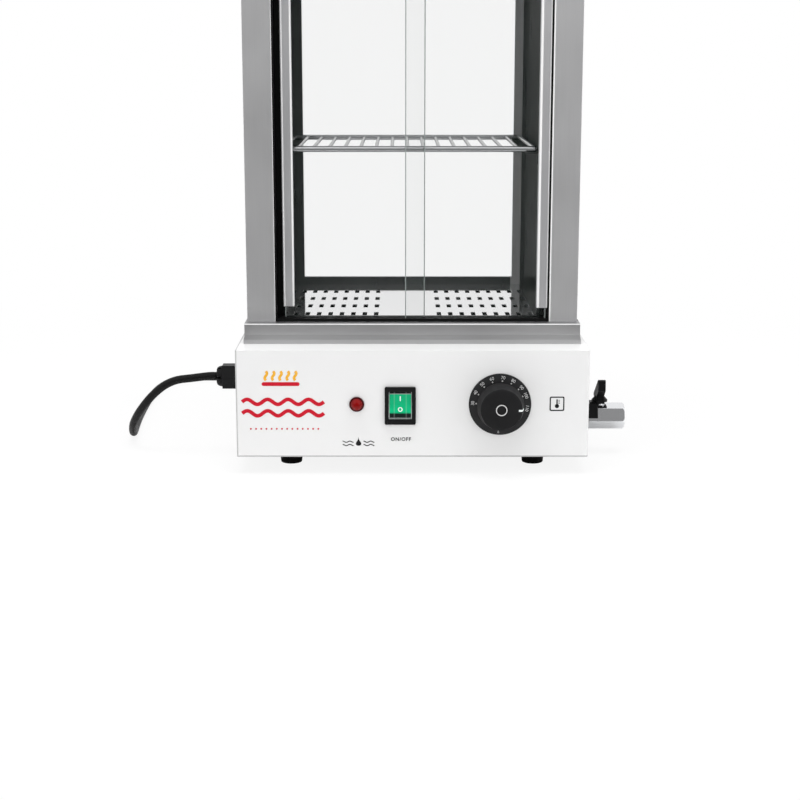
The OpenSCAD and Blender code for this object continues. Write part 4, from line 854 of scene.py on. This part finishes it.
# %% [markdown]
# ### Ring and pointer of the knob
# The knob has a pale ring on its face and a white pointer that runs from the face down over the
# side. The pointer could be wrapped by a modifier, but the knob's own profile is known, so it is
# drawn along that. Both ride on the knob and turn with it.

# %% Ring and pointer
KNOB_FACE_Y, RING_TOP_Y, RING_R, RING_HOLE_R = -23.4, -24.0, 4.6, 3.9
ring = shape(circle(RING_R, sides=48), circle(RING_HOLE_R, sides=48))
marks("knob_ring", pale_ink, "heat_knob",
      [laid(ring, (DIAL_AT[0], RING_TOP_Y, DIAL_AT[2]))])

POINTER_DEG, POINTER_W, POINTER_THICK = -1.5, 1.5, 0.2
KNOB_PROFILE = [(13.9, KNOB_FACE_Y), (16.1, KNOB_FACE_Y), (16.9, -22.8), (18.1, -16.8)]


def strip_on_profile(profile, width, thickness):
    """A strip along a profile of (radius, depth) pairs: its outer side is the profile moved by
    thickness along the mean of the neighbouring normals, and it is extruded across its width."""
    inner = np.asarray(profile, float)
    heading = np.gradient(inner, axis=0)
    heading /= np.linalg.norm(heading, axis=1, keepdims=True)
    outer = inner + np.stack([-heading[:, 1], heading[:, 0]], 1) * -thickness
    loop = np.vstack([inner, outer[::-1]])
    n = len(loop)
    points = np.concatenate([np.c_[loop[:, 0], np.full(n, half), loop[:, 1]]
                             for half in (-width / 2, width / 2)])
    sides = [[i, (i + 1) % n, n + (i + 1) % n, n + i] for i in range(n)]
    m = n // 2
    caps = [[first + i, first + i + 1, first + n - 2 - i, first + n - 1 - i]
            for first in (0, n) for i in range(m - 1)]
    return points, sides + caps


strip, strip_faces = strip_on_profile(KNOB_PROFILE, POINTER_W, POINTER_THICK)
out_x, out_z = heading_of(POINTER_DEG)
pointer_points = np.stack([DIAL_AT[0] + strip[:, 0] * out_x - strip[:, 1] * out_z, strip[:, 2],
                           DIAL_AT[2] + strip[:, 0] * out_z + strip[:, 1] * out_x], 1)
pointer = marks("knob_pointer", white_ink, "heat_knob",
                [(pointer_points, strip_faces)])
solid = bmesh.new()
solid.from_mesh(pointer.data)
bmesh.ops.recalc_face_normals(solid, faces=solid.faces)
solid.to_mesh(pointer.data)
solid.free()
print("pointer:", len(pointer.data.polygons), "faces")

# %% [markdown]
# ### The rocker
# A lit rocker is clear plastic over a green shade with a small lamp behind it, so it shines
# green, and its clear rim shows as a grey line. A band near its lower edge and a thin band above
# its top are painted shade, dark where the underside faces down and where the pressed top sits
# behind the lip. Two ribs stiffen it from behind, and their glints are painted as lighter lines.
# All of them are zones of one material, by height and across.

# %% The rocker
ROCKER_AT, ROCKER_TILT_DEG, ROCKER_VALLEY = (-10, 5, 57.8), 10, 5.5
RIM_FROM, RIM_TO, RIB_FROM, RIB_TO = 8.8, 9.6, 4.4, 5.4
green = Finish("green_rocker", linear(10, 170, 112), Roughness=0.2, Specular_IOR_Level=0.3)
position = green.position()
rocker_x = at(ROCKER_AT)[0][0] / MM
CLEAR, SHADE, SHADOWED = linear(140, 148, 145), linear(0, 172, 116), linear(8, 24, 21)
# Painted shade: dark bands by the lower edge and above the pressed top.
heights = zones(green, position["Z"], [
    (45, CLEAR), (48.2, SHADOWED), (51.6, linear(8, 120, 80)), (52.4, SHADE), (67.3, CLEAR),
    (67.9, SHADOWED), (70, SHADOWED)])
rims, rib_glints = ([(rocker_x - end, rocker_x - start), (rocker_x + start, rocker_x + end)]
              for start, end in ((RIM_FROM, RIM_TO), (RIB_FROM, RIB_TO)))
# Painted highlights: lighter lines over the ribs, screened on the green.
glinted = green.mixed(heights, within(green, position["X"], rib_glints, linear(90, 90, 90)), 0.5, "SCREEN")
edged = green.mixed(glinted, CLEAR, within(green, position["X"], rims))
green.link(edged, green.shader.inputs["Base Color"])
green.link(edged, green.shader.inputs["Emission Color"])
green.shader.inputs["Emission Strength"].default_value = 0.12
green.bump(green.noise(0.5, detail=1), 0.002, edge_mm=0.3)
dress(green, "switch_rocker")
print("rocker's middle at x", round(float(rocker_x), 2), "mm in the frame")

# %% [markdown]
# ### The rocker's marks
# The two halves of the rocker meet in a shallow valley, and each mark lies on its own half. So the
# valley's place is worked out once, and the lower half's own upward direction tilts the O.

# %% The rocker's marks
tilt = math.radians(ROCKER_TILT_DEG)
valley = (ROCKER_AT[0], ROCKER_AT[1] - ROCKER_VALLEY * math.cos(tilt),
          ROCKER_AT[2] + ROCKER_VALLEY * math.sin(tilt))
lower_up = (0, math.sin(2 * tilt), math.cos(2 * tilt))
ON_W, ON_H, ON_MIDDLE = 0.9, 4.2, (0, 5.0)
OFF_R, OFF_HOLE_R, OFF_MIDDLE = 1.9, 1.2, (0, -4.1)
on_mark = laid(shape(bar(ON_W, ON_H, ON_W / 3, ON_MIDDLE)), valley)
off_ring = shape(circle(OFF_R, OFF_MIDDLE, 32), circle(OFF_HOLE_R, OFF_MIDDLE, 32))
off_mark = laid(off_ring, valley, (1, 0, 0), lower_up)
marks("rocker_marks", white_ink, "power_rocker", [on_mark, off_mark])

# %% [markdown]
# ### Edges of the glass
# Sheet glass is nearly invisible from the front, but its cut edges are ground, so they scatter
# light and show as grey lines. Each is a thin channel, a hair larger than the glass itself: one
# at the pane's free edge, and a short one below the handle that clips on the other edge.

# %% Edges of the glass
EDGE_W, EDGE_OVER, HANDLE_GAP = 0.8, 0.04, 0.3


def box_points(low, high):
    """The eight corners of a box and its six faces."""
    low, high = np.asarray(low, float), np.asarray(high, float)
    corners = np.array([(i, j, k) for i in (0, 1) for j in (0, 1) for k in (0, 1)])
    faces = [[0, 1, 3, 2], [4, 6, 7, 5], [0, 4, 5, 1], [2, 3, 7, 6], [0, 2, 6, 4], [1, 5, 7, 3]]
    return low + corners * (high - low), faces


def channel(x, inward, low, high, top):
    """A thin box round a pane's upright edge at x, up to a height; inward is -1 or 1, the side
    that the glass is on."""
    near, far = np.sort([x - inward * EDGE_OVER * MM, x + inward * EDGE_W * MM])
    return box_points((near, low[1] - EDGE_OVER * MM, low[2]),
                      (far, high[1] + EDGE_OVER * MM, top))


for pane, body, free_side in (("left_door_glass", "left_door", 1),
                              ("right_door_glass", "right_door", -1)):
    low, high = (np.array(corner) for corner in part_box(pane))
    clipped_x, free_x = (low[0], high[0])[::free_side]
    handle_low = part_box(body + "_handle")[0][2]
    corners, faces = channel(free_x, -free_side, low, high, high[2])
    more, more_faces = channel(clipped_x, free_side, low, high, handle_low - HANDLE_GAP * MM)
    faces = faces + [[corner + len(corners) for corner in face] for face in more_faces]
    edge = new_object(body + "_edge", np.vstack([corners, more]), faces, smooth=False)
    dress(ground_edge, edge.name)
    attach(edge, body)
    print(edge.name, "from x", round(float(min(clipped_x, free_x)), 4), "m")

# %% [markdown]
# ## Room
# The steamer stands on a pale table that runs on into a white room. The world gives plain, even
# light, and to the camera, to gloss and to glass it is white.

# %% World
ROOM_LIGHT = 0.66
world = bpy.data.worlds.new("room")
world.use_nodes = True
bpy.context.scene.world = world
tree = world.node_tree
background = tree.nodes["Background"]
background.inputs["Color"].default_value = (1, 1, 1, 1)
rays = tree.nodes.new("ShaderNodeLightPath").outputs
seen = rays["Is Camera Ray"]
for kind in ("Is Glossy Ray", "Is Transmission Ray"):
    either = tree.nodes.new("ShaderNodeMath")
    either.operation = "MAXIMUM"
    tree.links.new(seen, either.inputs[0])
    tree.links.new(rays[kind], either.inputs[1])
    seen = either.outputs[0]
strength = tree.nodes.new("ShaderNodeMapRange")
strength.inputs["To Min"].default_value = ROOM_LIGHT
strength.inputs["To Max"].default_value = 1.0
tree.links.new(seen, strength.inputs["Value"])
tree.links.new(strength.outputs["Result"], background.inputs["Strength"])
print("room light:", ROOM_LIGHT, "for surfaces, 1 for what looks at it")

# %% [markdown]
# ### Floor
# The floor is a plain diffuse sheet. To the camera it is mostly a white light, so that it meets
# the white world without a line, and only a small share of it takes the shadow. That share fades
# out with the distance from the steamer.

# %% Floor
FLOOR_HALF = 40.0
SHADOW_KEPT, SHADOW_ENDS = 0.12, (0.35, 0.9)
floor_points = np.array([(x, y, 0) for x, y in ((-1, -1), (1, -1), (1, 1), (-1, 1))]) * FLOOR_HALF
floor = new_object("floor", floor_points, [(0, 1, 2, 3)], smooth=False)
floor_finish = Finish("floor_white", linear(246, 246, 246), Roughness=0.9)
glow = floor_finish.node("ShaderNodeEmission", Color=(1, 1, 1, 1), Strength=1.0)
mix = floor_finish.node("ShaderNodeMixShader")
floor_rays = floor_finish.node("ShaderNodeLightPath")
away = floor_finish.node("ShaderNodeVectorMath", operation="LENGTH")
floor_finish.link(floor_finish.coordinates(), away.inputs[0])
share = floor_finish.node("ShaderNodeMath", operation="MULTIPLY")
floor_finish.link(floor_finish.spread(away.outputs["Value"], 1 - SHADOW_KEPT, 1, *SHADOW_ENDS),
                  share.inputs[1])
floor_finish.link(floor_rays.outputs["Is Camera Ray"], share.inputs[0])
floor_finish.link(share.outputs[0], mix.inputs[0])
floor_finish.link(floor_finish.shader.outputs[0], mix.inputs[1])
floor_finish.link(glow.outputs[0], mix.inputs[2])
floor_finish.link(mix.outputs[0], floor_finish.tree.nodes["Material Output"].inputs["Surface"])
floor.data.materials.append(floor_finish.material)
print("floor:", 2 * FLOOR_HALF, "m wide")

# %% [markdown]
# ### Dark cards
# Polished metal in a wholly white room looks like chalk. Photographers put dark cards in front, so
# that faces turned to the camera go grey while faces turned up stay bright. One card lies on the
# table and one stands behind the camera, and only reflections see them.

# %% Dark cards
CARD_LEVEL = 0.28
CARD_NEAR_Y, CARD_FAR_Y, CARD_RISE = -90, -2200, 1500
card_finish = Finish("card", (0, 0, 0, 1), Roughness=1.0, Specular_IOR_Level=0.0,
                     Emission_Color=(1, 1, 1, 1), Emission_Strength=CARD_LEVEL)
for name, half, near, far in (("card_low", 1100, (CARD_FAR_Y, 1), (CARD_NEAR_Y, 1)),
                              ("card_back", 1400, (CARD_FAR_Y, 1), (CARD_FAR_Y, CARD_RISE))):
    corners = [(-half, *near), (half, *near), (half, *far), (-half, *far)]
    card = new_object(name, at(*corners), [(0, 1, 2, 3)], smooth=False)
    card.data.materials.append(card_finish.material)
    for rays_kind in ("camera", "diffuse", "transmission", "shadow", "volume_scatter"):
        setattr(card, "visible_" + rays_kind, False)


# %% [markdown]
# ## Light
# A large soft lamp stands at the upper left and a weaker one at the right. A third hangs above
# the ledge, and metal doesn't reflect it, so that the roof stays grey. Area lamps give the broad
# highlights of a light tent. Each is aimed by its own direction.

# %% Lamps
def lamp(name, place, target, size, power, mirrored=True):
    """An area lamp at a bench point, aimed at another; mirrored says if metal reflects it."""
    data = bpy.data.lights.new(name, "AREA")
    data.shape = "RECTANGLE"
    data.size, data.size_y = size
    data.energy = power
    thing = bpy.data.objects.new(name, data)
    start, end = at(place)[0], at(target)[0]
    thing.location = start
    direction = end - start
    flat = math.hypot(direction[0], direction[1])
    thing.rotation_euler = (math.atan2(flat, -direction[2]), 0,
                            math.atan2(-direction[0], direction[1]))
    thing.visible_glossy = mirrored
    bpy.context.scene.collection.objects.link(thing)
    return thing


lamp("key", (-900, -1100, 1300), (0, 100, 120), (1.4, 1.4), 2.6)
lamp("fill", (1100, -900, 700), (0, 100, 120), (1.4, 1.4), 2.2)
lamp("top", (0, -130, 1500), (0, 20, 100), (1.4, 0.6), 17, mirrored=False)
print("lamps:", len(bpy.data.lights))
